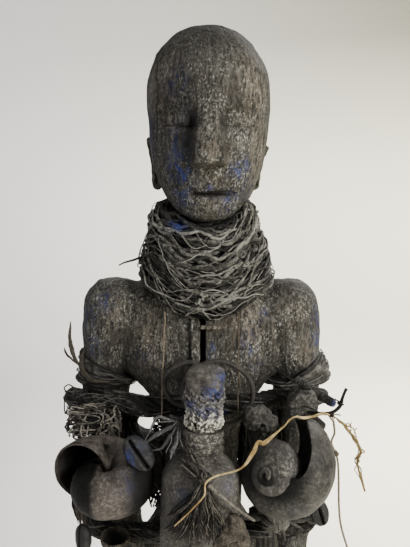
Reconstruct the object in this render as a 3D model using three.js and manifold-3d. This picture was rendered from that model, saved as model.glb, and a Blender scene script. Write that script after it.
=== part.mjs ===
// Standing power figure of carved wood, hung with things that give it strength.
// One carving stands on a low base of the same wood. A thick fibre binding hides its neck,
// two ropes go round its arms and body, and a stoppered bottle, two snail shells, cowries,
// iron rings, pegs, knots and tufts of root are tied on between the ropes.
// Millimetres, +Z up, the figure faces -Y and its right hand is on the -X side.

import * as THREE from "three";
import { mergeVertices } from "three/addons/utils/BufferGeometryUtils.js";
import Module from "manifold-3d";

const wasm = await Module();
wasm.setup();

// Driving dimensions
const contactGap = 0.6; // air left between pieces that rest on each other
const simplified = 0.2; // surface detail below this is left out
const base = { halfWidth: 66, halfDepth: 56, y: -8, height: 30, chamfer: 3 };
const head = { x: 5, widestZ: 572, crown: 47, jaw: 89, halfWidth: 43.2, front: 46, back: 48, chinY: -22 };
const neck = { radius: 25, low: 428, high: 502 };
const nose = { rootZ: 562, tipZ: 521, rootHalf: 8, tipHalf: 10.5, reach: 14 };
const eye = { apart: 18, z: 548, y: -50 };
const mouth = { x: 6.5, z: 503, halfWidth: 15 };
const ear = { y: 5, z: 523.5, halfHeight: 17, halfDepth: 9, thick: 3.2 };
const armX = 69.5;
const binding = { x: 3.3, low: 439, high: 499, lowSag: 21, highSag: 22 };
const ropeRadius = 6.6;
const bottle = { x: -0.8, y: -71.5, z: 276, radius: 26.4, body: 45, neckFoot: 61, neck: 12.4, height: 78, wall: 2.4, lean: 2 };
const stopper = { radius: 12.8, height: 41, plug: 9, plugRadius: 8.8 };
const shellWall = 1.6;
// Each shell has its apex, the way the apex points and the way to its mouth, and its tube at the mouth.
const shells = {
  right: {
    apex: [38.5, -98, 333], apexWay: [-0.45, -0.87, 0.2], mouthWay: [0.3, -0.1, 1], hand: 1,
    growth: 1.9, out: 19, radial: 19.2, axial: 22, drop: 29, flare: 0, spire: [-2.75, -2, -1.5, -1],
  },
  left: {
    apex: [-60.5, -60.5, 296], apexWay: [0, 0.217, -0.976], mouthWay: [-0.9, 0.1, 0.4], hand: -1,
    growth: 1.45, out: 18.5, radial: 18, axial: 21, drop: 24, flare: 0.05, spire: [-3.5, -2.6, -1.8, -1],
  },
};

// Geometry helpers

const vector = (x, y, z) => new THREE.Vector3(x, y, z);
const radians = THREE.MathUtils.degToRad;

// A manifold solid from a closed geometry, with its faces turned outwards.
function solidFrom(geometry) {
  geometry.deleteAttribute("normal");
  geometry.deleteAttribute("uv");
  const merged = mergeVertices(geometry, 1e-3);
  const triVerts = new Uint32Array(merged.index.array);
  const vertProperties = new Float32Array(merged.attributes.position.array);
  const made = new wasm.Manifold(new wasm.Mesh({ numProp: 3, vertProperties, triVerts }));
  if (made.volume() > 0) return made;
  triVerts.reverse();
  return new wasm.Manifold(new wasm.Mesh({ numProp: 3, vertProperties, triVerts }));
}

function geometryFrom(solid) {
  const mesh = solid.getMesh();
  const geometry = new THREE.BufferGeometry();
  geometry.setAttribute("position", new THREE.BufferAttribute(new Float32Array(mesh.vertProperties), 3));
  geometry.setIndex([...mesh.triVerts]);
  return geometry;
}

// Skins a row of rings. A loop joins the last ring to the first; otherwise each end gets a cap
// around its own middle, or around the pole given for it.
function skin(rings, { loop = false, startPole, endPole } = {}) {
  const sides = rings[0].length;
  const points = rings.flat();
  const faces = [];
  const bands = loop ? rings.length : rings.length - 1;
  for (let i = 0; i < bands; i++) {
    const next = (i + 1) % rings.length;
    for (let j = 0; j < sides; j++) {
      const k = (j + 1) % sides;
      const [a, b, c, d] = [i * sides + j, i * sides + k, next * sides + k, next * sides + j];
      faces.push(a, b, c, a, c, d);
    }
  }
  const cap = (ring, first, pole, flip) => {
    const middle = pole ?? ring.reduce((sum, p) => sum.add(p), vector(0, 0, 0)).divideScalar(sides);
    points.push(middle);
    for (let j = 0; j < sides; j++) {
      const k = (j + 1) % sides;
      faces.push(points.length - 1, first + (flip ? j : k), first + (flip ? k : j));
    }
  };
  if (!loop) {
    cap(rings[0], 0, startPole, false);
    cap(rings.at(-1), (rings.length - 1) * sides, endPole, true);
  }
  const geometry = new THREE.BufferGeometry().setFromPoints(points);
  geometry.setIndex(faces);
  return solidFrom(geometry);
}

// Catmull-Rom blend of rows of numbers, so places and sizes change together.
function blend(rows, t, closed = false) {
  const spans = closed ? rows.length : rows.length - 1;
  const place = Math.min(t * spans, spans - 1e-9);
  const i = Math.floor(place);
  const f = place - i;
  const last = rows.length - 1;
  const row = (k) => (closed ? rows[(k + rows.length) % rows.length] : rows[Math.min(last, Math.max(0, k))]);
  const [a, b, c, d] = [row(i - 1), row(i), row(i + 1), row(i + 2)];
  return b.map((v, j) => {
    const slope = c[j] - a[j];
    const bend = 2 * a[j] - 5 * v + 4 * c[j] - d[j];
    const twist = 3 * v - a[j] - 3 * c[j] + d[j];
    return 0.5 * (2 * v + (slope + (bend + twist * f) * f) * f);
  });
}

const power = (v, n) => Math.sign(v) * Math.abs(v) ** n;

// A level oval: half the width, the reach to the front and to the back, and how square it is.
function levelRing(x, z, halfWidth, front, back, sides, squareness = 2) {
  const middle = (back + front) / 2;
  const halfDepth = (back - front) / 2;
  return Array.from({ length: sides }, (_, j) => {
    const a = (2 * Math.PI * (j + 0.5)) / sides;
    return vector(
      x + halfWidth * power(Math.cos(a), 2 / squareness),
      middle + halfDepth * power(Math.sin(a), 2 / squareness),
      z,
    );
  });
}

// A limb or cord along rows of [x, y, z, a, b]: a is half its width across `up`, b half its width along `up`.
function sweep(rows, { sides = 8, steps = 8, loop = false, up = vector(0, 1, 0), lobes = 0, depth = 0, twist = 0 } = {}) {
  const at = (t) => vector(...blend(rows, t, loop));
  const count = loop ? steps : steps + 1;
  const rings = Array.from({ length: count }, (_, i) => {
    const t = i / steps;
    const [x, y, z, a, b] = blend(rows, t, loop);
    const before = loop ? at((t + 1 - 1e-3) % 1) : at(Math.max(0, t - 1e-3));
    const after = loop ? at((t + 1e-3) % 1) : at(Math.min(1, t + 1e-3));
    const way = after.sub(before).normalize();
    const along = up.clone().addScaledVector(way, -up.dot(way)).normalize();
    const across = new THREE.Vector3().crossVectors(way, along);
    return Array.from({ length: sides }, (_, j) => {
      const angle = (2 * Math.PI * j) / sides;
      const swell = 1 + depth * Math.cos(lobes * angle + 2 * Math.PI * twist * t);
      return vector(x, y, z)
        .addScaledVector(across, a * swell * Math.cos(angle))
        .addScaledVector(along, b * swell * Math.sin(angle));
    });
  });
  return skin(rings, { loop });
}

function ball(x, y, z, rx, ry, rz, sides = 10, rows = 6) {
  const geometry = new THREE.SphereGeometry(1, sides, rows);
  return solidFrom(geometry.scale(rx, ry, rz).translate(x, y, z));
}

const joined = (solids) => wasm.Manifold.union(solids);

// The solid with every face moved out by the gap. A vertex goes along the mean of its faces'
// normals, weighted by their corner angles, and further where the faces meet sharply.
function grown(solid, gap) {
  const geometry = geometryFrom(solid);
  const { position } = geometry.attributes;
  const points = Array.from({ length: position.count }, (_, i) => new THREE.Vector3().fromBufferAttribute(position, i));
  const ways = points.map(() => vector(0, 0, 0));
  const index = geometry.index.array;
  const faces = Array.from({ length: index.length / 3 }, (_, i) => [...index.slice(3 * i, 3 * i + 3)]);
  const normals = faces.map((face) => new THREE.Triangle(...face.map((k) => points[k])).getNormal(vector(0, 0, 0)));
  faces.forEach((face, i) => {
    face.forEach((k, j) => {
      const [next, last] = [face[(j + 1) % 3], face[(j + 2) % 3]].map((q) => points[q].clone().sub(points[k]));
      ways[k].addScaledVector(normals[i], next.angleTo(last));
    });
  });
  ways.forEach((way) => way.normalize());
  const least = points.map(() => 1);
  faces.forEach((face, i) => {
    for (const k of face) least[k] = Math.min(least[k], Math.max(0.5, normals[i].dot(ways[k])));
  });
  geometry.setFromPoints(points.map((point, k) => point.addScaledVector(ways[k], gap / least[k])));
  return solidFrom(geometry);
}

const biggest = (solid) => solid.decompose().reduce((most, one) => (one.volume() > most.volume() ? one : most));

// Carved figure

// The reach of the head at a height: half its width, its front and its back.
function headReach(z) {
  const rise = (z - head.widestZ) / head.crown;
  if (rise >= 0) {
    const s = Math.sqrt(1 - rise * rise);
    return [head.halfWidth * s, -head.front * s, head.back * s];
  }
  const fall = (head.widestZ - z) / head.jaw;
  const halfWidth = head.halfWidth * (1 - fall ** 2.3) ** (1 / 2.3);
  const front = head.chinY - (head.front + head.chinY) * (1 - fall ** 3) ** (1 / 2.2);
  const back = head.chinY + (head.back - head.chinY) * Math.sqrt(1 - fall ** 2.4);
  return [halfWidth, front, back];
}

function carvedHead() {
  const sides = 20;
  const up = [0.97, 0.83, 0.56, 0.22].map((s) => head.widestZ + head.crown * s);
  const down = [0.08, 0.28, 0.47, 0.64, 0.79, 0.9, 0.965].map((s) => head.widestZ - head.jaw * s);
  const rings = [...up, ...down].map((z) => levelRing(head.x, z, ...headReach(z), sides, 2.15));
  return skin(rings, {
    startPole: vector(head.x, 0, head.widestZ + head.crown),
    endPole: vector(head.x, head.chinY, head.widestZ - head.jaw),
  });
}

function noseWedge() {
  const rings = [0, 0.3, 0.65, 0.94, 1].map((s) => {
    const z = nose.rootZ + (nose.tipZ - nose.rootZ) * s;
    const half = nose.rootHalf + (nose.tipHalf - nose.rootHalf) * s;
    const face = headReach(z)[1];
    const reach = s < 1 ? 1 + nose.reach * s ** 0.8 : nose.reach - 1;
    return levelRing(head.x + 0.5, z, half, face - reach, face + 12, 10, 3);
  });
  return skin(rings);
}

function carvedEar(side) {
  const rows = [50, 95, 140, 185, 230, 275, 310].map((degrees) => {
    const a = radians(degrees);
    const z = ear.z + ear.halfHeight * Math.sin(a);
    const y = ear.y - ear.halfDepth * Math.cos(a);
    const x = head.x + side * (headReach(z)[0] + 0.4);
    const lobe = degrees > 260 ? 1.25 : 1;
    return [x, y, z, ear.thick * lobe, ear.thick * lobe];
  });
  return sweep(rows, { sides: 5, steps: 7, up: vector(1, 0, 0) });
}

// A body or arm through level rings from rows of [x, z, half width, front, back, squareness].
function levelLoft(rows, sides, steps) {
  const rings = Array.from({ length: steps + 1 }, (_, i) => {
    const [x, z, half, front, back, square] = blend(rows, i / steps);
    return levelRing(x, z, half, front, back, sides, square);
  });
  return skin(rings);
}

function torso() {
  const rows = [
    [0, 186, 20, -12, 14, 2.2],
    [0, 198, 38, -21, 26, 2.2],
    [0, 222, 47, -26, 33, 2.2],
    [0, 247, 45, -26, 26, 2.2],
    [-1, 267, 33, -24, 22, 2.2],
    [-1, 290, 27, -24, 18, 2.2],
    [0, 325, 29, -25, 20, 2.4],
    [1, 350, 35, -28, 24, 2.6],
    [1, 366, 46, -31, 27, 2.6],
    [0, 384, 60, -33, 29, 2.6],
    [0, 410, 66, -33, 30, 2.5],
    [0, 430, 62, -28, 27, 2.4],
    [1, 441, 44, -20, 22, 2.2],
  ];
  return levelLoft(rows, 16, 14);
}

// Rounded shoulder, straight upper arm and forearm, flat hand on the thigh.
function arm(side, elbow, wrist, hand) {
  const rows = [
    [side * (hand - 4), 208, 5, -14, 2, 2.2],
    [side * hand, 222, 10, -23, 8, 2.2],
    [side * hand, 240, 12, -24, 9, 2.2],
    [side * wrist, 266, 14, -19, 11, 2.2],
    [side * (wrist + elbow) * 0.5, 304, 14.5, -17, 15, 2.2],
    [side * elbow, 345, 16, -17, 17, 2.2],
    [side * elbow, 366, 17.5, -18, 18, 2.2],
    [side * 66, 392, 20.5, -23, 23, 2.3],
    [side * 61, 414, 25, -26, 27, 2.2],
    [side * 61, 431, 22, -22, 24, 2.1],
    [side * 62, 441, 11, -10, 12, 2],
  ];
  return levelLoft(rows, 10, 14);
}

function leg(side) {
  const rows = [
    [side * 17, 2, 244, 8, 8],
    [side * 23, 2, 226, 20, 22],
    [side * 27, 0, 196, 22, 24],
    [side * 29, -5, 160, 19.5, 20],
    [side * 30, -9, 130, 17, 17.5],
    [side * 30, 2, 98, 17.5, 19],
    [side * 29, 5, 62, 13, 13.5],
    [side * 29, 3, 40, 13.5, 15],
    [side * 29, 2, 20, 15, 18],
  ];
  return sweep(rows, { sides: 9, steps: 9 });
}

function foot(side) {
  const x = side * 30;
  const rows = [
    [x, 16, 33, 11, 8],
    [x, 2, 36, 14, 14],
    [x, -22, 34, 14.5, 10],
    [x, -40, 32, 13.5, 7],
    [x, -49, 31, 10, 4],
  ];
  return sweep(rows, { sides: 8, steps: 5, up: vector(0, 0, 1) });
}

function lowBase() {
  const { halfWidth, halfDepth, y, height, chamfer } = base;
  const levels = [
    [0, 0],
    [chamfer, 1],
    [height - chamfer, 1],
    [height, 0],
  ];
  const rings = levels.map(([z, full]) => {
    const inset = full ? 0 : chamfer;
    return levelRing(0, z, halfWidth - inset, y - halfDepth + inset, y + halfDepth - inset, 20, 3.2);
  });
  return skin(rings);
}

// Two drying cracks run down the chest under the neck binding.
function crack(x, top, bottom, topHalf, bottomHalf) {
  const shape = new THREE.Shape();
  shape.moveTo(x - topHalf, top).lineTo(x - bottomHalf, bottom).lineTo(x + bottomHalf, bottom);
  shape.lineTo(x + topHalf, top).closePath();
  const geometry = new THREE.ExtrudeGeometry(shape, { depth: 30, bevelEnabled: false });
  return solidFrom(geometry.rotateX(Math.PI / 2).translate(0, -26, 0));
}

function figureParts() {
  return [
    carvedHead(),
    noseWedge(),
    carvedEar(-1),
    carvedEar(1),
    skin([neck.low, neck.high].map((z) => levelRing(4, z, neck.radius, -neck.radius, neck.radius, 16))),
    torso(),
    arm(-1, armX, 59, 55),
    arm(1, armX, 69, 66),
    leg(-1),
    leg(1),
    foot(-1),
    foot(1),
    lowBase(),
  ];
}

function carvedFigure() {
  const body = joined(figureParts());
  const cuts = [-1, 1].map((side) => ball(head.x + side * eye.apart, eye.y, eye.z, 13, 6.5, 7, 8, 4));
  cuts.push(ball(mouth.x, -47, mouth.z, mouth.halfWidth + 1, 7, 1.6, 8, 4));
  cuts.push(crack(1.5, 428, 388, 0.8, 2.4), crack(26, 428, 396, 0.7, 1.1));
  const lids = [-1, 1].map((side) => ball(head.x + side * eye.apart, -40.5, eye.z - 1.5, 9, 4.6, 4.5, 8, 4));
  const lips = [ball(mouth.x, -40.5, mouth.z + 3.6, 11, 4.2, 2.6, 8, 4), ball(mouth.x, -38.5, mouth.z - 4.6, 10, 5, 3.4, 8, 4)];
  return { solid: joined([body.subtract(joined(cuts)), ...lids, ...lips]), filled: figureParts() };
}

// Bindings

// Thick winding of fibre round the neck, lower in front, with five bulging turns.
function neckBinding() {
  const rows = [
    // [height share, left, right, front, back]
    [0, 38, 42, 37, 34],
    [0.04, 46.5, 48.5, 45, 41],
    [0.18, 48, 47.5, 46, 43],
    [0.34, 46, 46, 45, 42],
    [0.5, 42.5, 43, 43, 41],
    [0.66, 40.5, 37.5, 41, 39],
    [0.8, 39.5, 37, 39, 37],
    [0.94, 35, 33.5, 36, 33],
    [1, 28, 28, 30, 27],
  ];
  const steps = 10;
  const rings = Array.from({ length: steps + 1 }, (_, i) => {
    const [share, left, right, front, back] = blend(rows, i / steps);
    const bulge = i > 0 && i < steps ? 1.6 * (i % 2) - 0.8 : 0;
    return Array.from({ length: 18 }, (_, j) => {
      const a = (2 * Math.PI * j) / 18;
      const [c, s] = [Math.cos(a), Math.sin(a)];
      const facing = Math.max(0, -s) ** 2;
      const low = binding.low - binding.lowSag * facing;
      const high = binding.high - binding.highSag * facing;
      const x = binding.x + c * ((c > 0 ? right : left) + bulge);
      return vector(x, s * ((s > 0 ? back : front) + bulge), low + (high - low) * share);
    });
  });
  return skin(rings);
}

// Rope loops go round the front of the body, outside both arms and across the back.
function ropeLoop(rows, steps) {
  return sweep(rows, { sides: 6, steps, loop: true, up: vector(0, 0, 1) });
}

function upperRope() {
  const r = ropeRadius;
  const rows = [
    [0, -39, 358, r, r + 1],
    [34, -38, 360, r, r + 1],
    [54, -31, 361, r, r],
    [72, -27, 361, r, r],
    [88, -18, 359, r, r],
    [94.5, 0, 354, r, r],
    [88, 19, 346, r, r],
    [70, 27, 340, r, r],
    [40, 33, 337, r, r],
    [0, 35, 336, r, r],
    [-40, 33, 337, r, r],
    [-70, 27, 340, r, r],
    [-88, 19, 346, r, r],
    [-94.5, 0, 353, r, r],
    [-88, -18, 357, r, r],
    [-72, -27, 358, r + 1, r + 1],
    [-54, -32, 358, r + 1, r + 1],
    [-34, -38, 358, r, r + 1],
  ];
  return ropeLoop(rows, 32);
}

function lowerRope() {
  const r = ropeRadius;
  const rows = [
    [0, -36, 266, r, r],
    [38, -38, 268, r, r],
    [58, -32, 268, r + 1, r + 1],
    [77, -26, 268, r, r],
    [91, -8, 272, r, r],
    [85, 12, 279, r, r],
    [60, 25, 284, r, r],
    [0, 30, 286, r, r],
    [-54, 25, 282, r, r],
    [-76, 12, 276, r, r],
    [-83, -6, 268, r, r],
    [-73, -26, 263, r, r],
    [-54, -32, 264, r, r],
    [-32, -38, 266, r, r],
  ];
  return ropeLoop(rows, 26);
}

// A strip of bark cloth slung round an arm above the rope, with its upper edge high on the outside.
function elbowBand(side, low, high, spread, slope) {
  const rows = [
    [0, 19.5, -22, 22],
    [0.12, 21.5 + spread, -24, 23],
    [0.5, 20.5 + spread, -24, 24],
    [0.88, 21.5, -25.5, 24],
    [1, 19, -23, 22],
  ];
  const rings = rows.map(([share, half, front, back]) => {
    const ring = levelRing(side * (69 - share * 2), 0, half, front, back, 14, 2.3);
    return ring.map((point) => {
      const top = Math.max(high + slope * (side * point.x - 68), low + 4);
      return vector(point.x, point.y, low + (top - low) * share);
    });
  });
  return skin(rings);
}

// Old fibre stuffed between an arm and the body, from rows of [x, z, half width, front, back, squareness].
function fibreWad(rows) {
  return levelLoft(rows, 10, 8);
}

function cord(points, radius, { sides = 5, steps = points.length * 2, flat = 1, up = vector(0, 1, 0) } = {}) {
  return sweep(points.map(([x, y, z, scale = 1]) => [x, y, z, radius * scale, radius * scale * flat]), { sides, steps, up });
}

// Bottle and stopper

function turned(profile, sides) {
  const points = profile.map(([r, z]) => new THREE.Vector2(r, z));
  const geometry = new THREE.LatheGeometry(points, sides).rotateX(Math.PI / 2);
  geometry.rotateY(radians(bottle.lean)).translate(bottle.x, bottle.y, bottle.z);
  return solidFrom(geometry);
}

function hollowBottle() {
  const { radius: r, body, neckFoot: foot, neck: n, height: h, wall: w } = bottle;
  const outside = [[0, 0], [r - 2, 0], [r, 2.5], [r, body], [r - 2, body + 7], [r - 7, body + 12], [n + 1.5, foot]];
  const rim = [[n, foot + 4], [n + 1.2, foot + 7], [n, foot + 10], [n + 0.8, h - 3], [n, h], [n - w, h]];
  const inside = [[n - w, foot], [r - 8.6, body + 9.6], [r - w, body - 1], [r - w, 5], [r - 5, w], [0, w]];
  return turned([...outside, ...rim, ...inside], 16);
}

function bottleStopper() {
  const { radius: r, height, plug, plugRadius: p } = stopper;
  const z = bottle.height;
  const profile = [[0, z - plug], [p - 1, z - plug], [p, z - plug + 2], [p, z + 0.9], [r - 1.5, z + 0.9], [r, z + 4]];
  const top = [[r - 1.2, z + 12], [r + 0.4, z + 20], [r - 0.4, z + 28], [r, z + 35], [r - 2, z + height - 2], [r - 6, z + height], [0, z + height]];
  return turned([...profile, ...top], 12);
}

// Shells

// A coiled snail shell: a tube that grows along a spiral about the way from body to apex.
// The tube's place at the mouth is out from the axis; each turn back it is `growth` times smaller.
function snailShell(shape) {
  const { growth, out, radial, axial, drop, flare } = shape;
  const apex = vector(...shape.apex);
  const axis = vector(...shape.apexWay).normalize();
  const mouthWay = vector(...shape.mouthWay);
  const side = mouthWay.addScaledVector(axis, -mouthWay.dot(axis)).normalize();
  const ahead = new THREE.Vector3().crossVectors(axis, side).multiplyScalar(shape.hand);
  const ring = (turn, inset, sides) => {
    const s = growth ** turn;
    const open = 1 + flare * Math.max(0, 1 + turn * 3) ** 2;
    const a = 2 * Math.PI * turn;
    const way = side.clone().multiplyScalar(Math.cos(a)).addScaledVector(ahead, Math.sin(a));
    const middle = apex.clone().addScaledVector(way, out * s * open).addScaledVector(axis, -drop * s);
    return Array.from({ length: sides }, (_, j) => {
      const b = (2 * Math.PI * j) / sides;
      return middle
        .clone()
        .addScaledVector(way, (radial * s * open - inset) * Math.cos(b))
        .addScaledVector(axis, (axial * s * open - inset) * Math.sin(b));
    });
  };
  const tube = (from, to, steps, inset, sides) =>
    skin(Array.from({ length: steps + 1 }, (_, i) => ring(from + ((to - from) * i) / steps, inset, sides)));
  const pillar = [-2.4, -1.4, -0.7, -0.35].map((turn) => {
    const s = growth ** turn;
    const at = apex.clone().addScaledVector(axis, -drop * s);
    return [at.x, at.y, at.z, out * s * 0.6, out * s * 0.6];
  });
  const body = [tube(-1, -0.5, 4, 0, 10), tube(-0.5, 0, 5, 0, 10), sweep(pillar, { sides: 6, steps: 3, up: side })];
  const hollow = tube(-0.55, 0.04, 5, shellWall, 8);
  const [end, third, second, first] = shape.spire;
  const spire = [tube(second, first, 4, 0, 8), tube(third, second, 3, 0, 8), tube(end, third, 4, 0, 6)];
  return { bodyTurn: joined(body).subtract(hollow), hollow, spire: joined(spire), filled: [...body, ...spire] };
}

function rightSnailShell() {
  const made = snailShell(shells.right);
  const opening = ball(0, 0, 0, 8, 11, 17, 12, 8).rotate([0, -28, 0]).translate([62.5, -88, 349]);
  return { solid: joined([made.bodyTurn.subtract(opening), made.spire]), filled: made.filled };
}

// The older turns of this shell lie inside its last one, so they give way to its hollow.
function leftSnailShell() {
  const made = snailShell(shells.left);
  return { solid: joined([made.bodyTurn, made.spire.subtract(made.hollow)]), filled: made.filled };
}

// Cowrie: an egg with a flat under face and a long narrow slit.
function cowrie(x, y, z, length, tilt, turn) {
  const half = length / 2;
  const egg = ball(0, 0, 0, half * 0.66, half * 0.52, half, 10, 6);
  const under = solidFrom(new THREE.BoxGeometry(length, length, length * 1.2).translate(0, -half * 1.3, 0));
  const slit = solidFrom(new THREE.BoxGeometry(half * 0.16, half * 0.5, half * 1.6).translate(0, -half * 0.4, 0));
  return egg.subtract(under).subtract(slit).rotate([0, tilt, 0]).rotate([0, 0, turn]).translate([x, y, z]);
}

// Iron, pegs and knots

function ironRing(x, y, z, radius, lean) {
  const geometry = new THREE.TorusGeometry(radius, 1.7, 5, 16).rotateX(radians(90 - lean));
  return solidFrom(geometry.translate(x, y, z));
}

function peg(from, to, radius) {
  const rows = [0, 0.3, 0.7, 0.9, 1].map((t, i) => {
    const at = from.clone().lerp(to, t);
    return [at.x, at.y, at.z, ...Array(2).fill(radius * [0.8, 1, 1.05, 0.9, 0.45][i])];
  });
  return sweep(rows, { sides: 8, steps: 6 });
}

function knottedLump() {
  const mass = joined([ball(37, -62, 359, 9, 8, 8, 8, 5), ball(43.5, -61, 354, 8, 8, 7, 8, 5), ball(34, -60, 354, 6.5, 7, 6, 6, 4)]);
  return mass.subtract(ball(40, -70.5, 354.5, 2.6, 4, 2.2, 6, 4));
}

function barkPacket() {
  const shape = new THREE.Shape();
  shape.moveTo(-8, -6).lineTo(7, -7).quadraticCurveTo(10, -2, 8, 8).lineTo(1, 10).quadraticCurveTo(-7, 8, -9, 1).closePath();
  const options = { depth: 22, bevelEnabled: true, bevelThickness: 1.5, bevelSize: 1.5, bevelSegments: 1, curveSegments: 3 };
  const geometry = new THREE.ExtrudeGeometry(shape, options);
  return solidFrom(geometry.rotateX(Math.PI / 2).rotateY(radians(-8)).translate(67.5, -39, 363.5));
}

// Root, leaf and fibre

function rootTangle() {
  const loops = [
    [[-66, -34, 352], [-78, -34, 350], [-90, -30, 345], [-95, -24, 338], [-88, -26, 334], [-76, -38, 340]],
    [[-62, -36, 348], [-74, -40, 344], [-84, -38, 337], [-78, -40, 333], [-66, -40, 340]],
    [[-60, -34, 356], [-74, -30, 360], [-88, -24, 357], [-97, -12, 350], [-92, -10, 343], [-84, -26, 344]],
    [[-56, -38, 352], [-62, -42, 344], [-70, -44, 340], [-64, -42, 348], [-58, -40, 342]],
  ];
  const heart = ball(-69, -37, 347, 12, 7, 9, 8, 6);
  return joined([heart, ...loops.map((points) => cord(points, 1.5, { sides: 4, steps: 8 }))]);
}

function rootTassel() {
  const strands = [-21, -15, -9, -3, 4, 10, 15].map((x, i) => {
    const low = 294 - 3 * (i % 2);
    return cord([[3, -99.6, 333, 1.4], [3 + x * 0.3, -102, 322, 1], [x * 0.8, -101.8, 308, 1], [x, -100.6 + Math.abs(x) * 0.1, low, 0.6]], 2.1, { sides: 4, steps: 4 });
  });
  return joined([ball(3, -101, 332, 5, 3.6, 4.6, 6, 4), ...strands]);
}

function leafBlade() {
  return cord([[-84, -14, 376, 0.5], [-91, -20, 394, 1.2], [-92.5, -20, 404, 1.5], [-91.5, -20, 414, 0.3]], 1.5, { flat: 0.5, steps: 8 });
}

function leafScraps() {
  const blades = [
    [[-20, -66, 362, 1], [-30, -72, 361, 1.6], [-37, -76, 352, 0.4]],
    [[-19, -68, 360, 1], [-27, -74, 353, 1.4], [-37, -76, 344, 0.7]],
    [[-19, -70, 360, 1], [-24, -78, 350, 1.2], [-28, -80, 340, 0.4]],
  ];
  const root = sweep([[-20, -68, 361, 1.8, 1.8], [-15, -69, 361, 2, 2], [-9, -71, 361, 2, 2]], { sides: 6, steps: 3 });
  return joined([root, ball(-19.5, -68, 360.5, 2.8, 3.2, 2.4, 6, 4), ...blades.map((points) => cord(points, 1.9, { flat: 0.45, steps: 5 }))]);
}

function raffiaRibbon() {
  const points = [
    [-15.5, -107, 305, 0.5], [2.3, -109, 325, 0.7], [3.2, -108, 332, 0.8], [9, -106.5, 336, 0.8], [24, -107, 341, 0.8],
    [31.6, -107, 351, 3], [38, -106, 356, 2.6], [46, -103, 362, 1.2], [56.5, -99, 370, 0.8], [64, -94, 368, 2], [78, -82, 366.5, 0.9], [82, -76, 364, 0.6],
  ];
  return cord(points, 1.1, { sides: 4, steps: 22, flat: 0.8 });
}

function knottedTwig() {
  const stem = cord([[68, -60, 361, 0.8], [82, -70, 363, 1], [89, -70, 367, 1], [91, -69, 372, 1], [94, -68, 379, 0.7]], 1.3, { steps: 8 });
  return joined([stem, ball(90.2, -70, 368.5, 2.6, 2.4, 2.4, 6, 4), ball(84, -70.5, 362.5, 2.4, 2.6, 2.4, 6, 4)]);
}

function hangingTwine() {
  const points = [[85.5, -71, 358.5], [86.5, -70, 350], [84.8, -69, 343], [88.6, -68, 334, 1.9], [90, -68, 324], [91, -68, 298], [93, -68, 284], [98, -68, 268], [101, -68, 258]];
  return cord(points, 0.9, { sides: 4, steps: 18 });
}

function hangingRaffia() {
  const points = [[87.5, -71.5, 360], [93, -72, 355, 1.4], [99, -70, 347, 0.8], [104, -70, 338, 1.4], [101.5, -71, 332, 1], [103, -71, 324, 0.8], [107, -71, 311, 0.7]];
  return cord(points, 1.1, { sides: 4, steps: 14 });
}

function chestTwine(points) {
  return cord(points, 0.6, { sides: 4, steps: 6 });
}

function chestSlat(x, halfWidth, top, low) {
  const slab = new THREE.BoxGeometry(halfWidth * 2, 3.2, top - low, 1, 1, 2);
  return solidFrom(slab.rotateX(radians(-3)).translate(x, -35.2, (top + low) / 2));
}

function crossBar() {
  return solidFrom(new THREE.CylinderGeometry(1.5, 1.5, 15, 8).rotateZ(Math.PI / 2).translate(7, -40.5, 411));
}

function lowerKnot() {
  const mass = joined([ball(52, -52, 283, 9, 9, 8, 8, 5), ball(44, -50, 290, 6, 7, 5, 6, 4)]);
  const strips = [
    [[50, -52, 288, 1], [62, -54, 287, 1.4], [76, -48, 289, 1], [86, -42, 291, 0.6]],
    [[54, -54, 284, 1], [66, -54, 282, 1.3], [78, -46, 281, 0.7]],
    [[52, -50, 280, 1], [56, -45, 273, 1.3], [59, -42, 264, 0.9]],
  ];
  return joined([mass, ...strips.map((points) => cord(points, 2, { sides: 4, steps: 4 }))]);
}

function crustLump() {
  return joined([ball(20, -91, 296, 9, 7, 9, 8, 5), ball(24, -86, 286, 8, 7, 8, 8, 5), ball(13, -93, 288, 6, 5.5, 7, 6, 4)]);
}

function rimmedCup() {
  const profile = [[0, -13], [7, -11], [10, -4], [10.4, 0], [9.2, 0.4], [8.6, -4], [5.6, -9], [0, -10.6]];
  const points = profile.map(([r, z]) => new THREE.Vector2(r, z));
  const geometry = new THREE.LatheGeometry(points, 12).rotateX(Math.PI / 2);
  return solidFrom(geometry.rotateX(radians(14)).translate(-59.1, -47.5, 268.4));
}

function leafBundle() {
  const leaves = [
    [[-77, -48, 310, 0.8], [-85, -46, 293, 1.6], [-83, -46, 279, 0.8], [-82, -45, 270, 0.8]],
    [[-76, -50, 309, 0.8], [-80, -47, 289, 1.5], [-79, -46, 276, 0.8], [-81, -46, 270, 0.8]],
  ];
  return joined(leaves.map((points) => cord(points, 2, { flat: 0.6, steps: 5 })));
}

// Assembly

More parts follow.
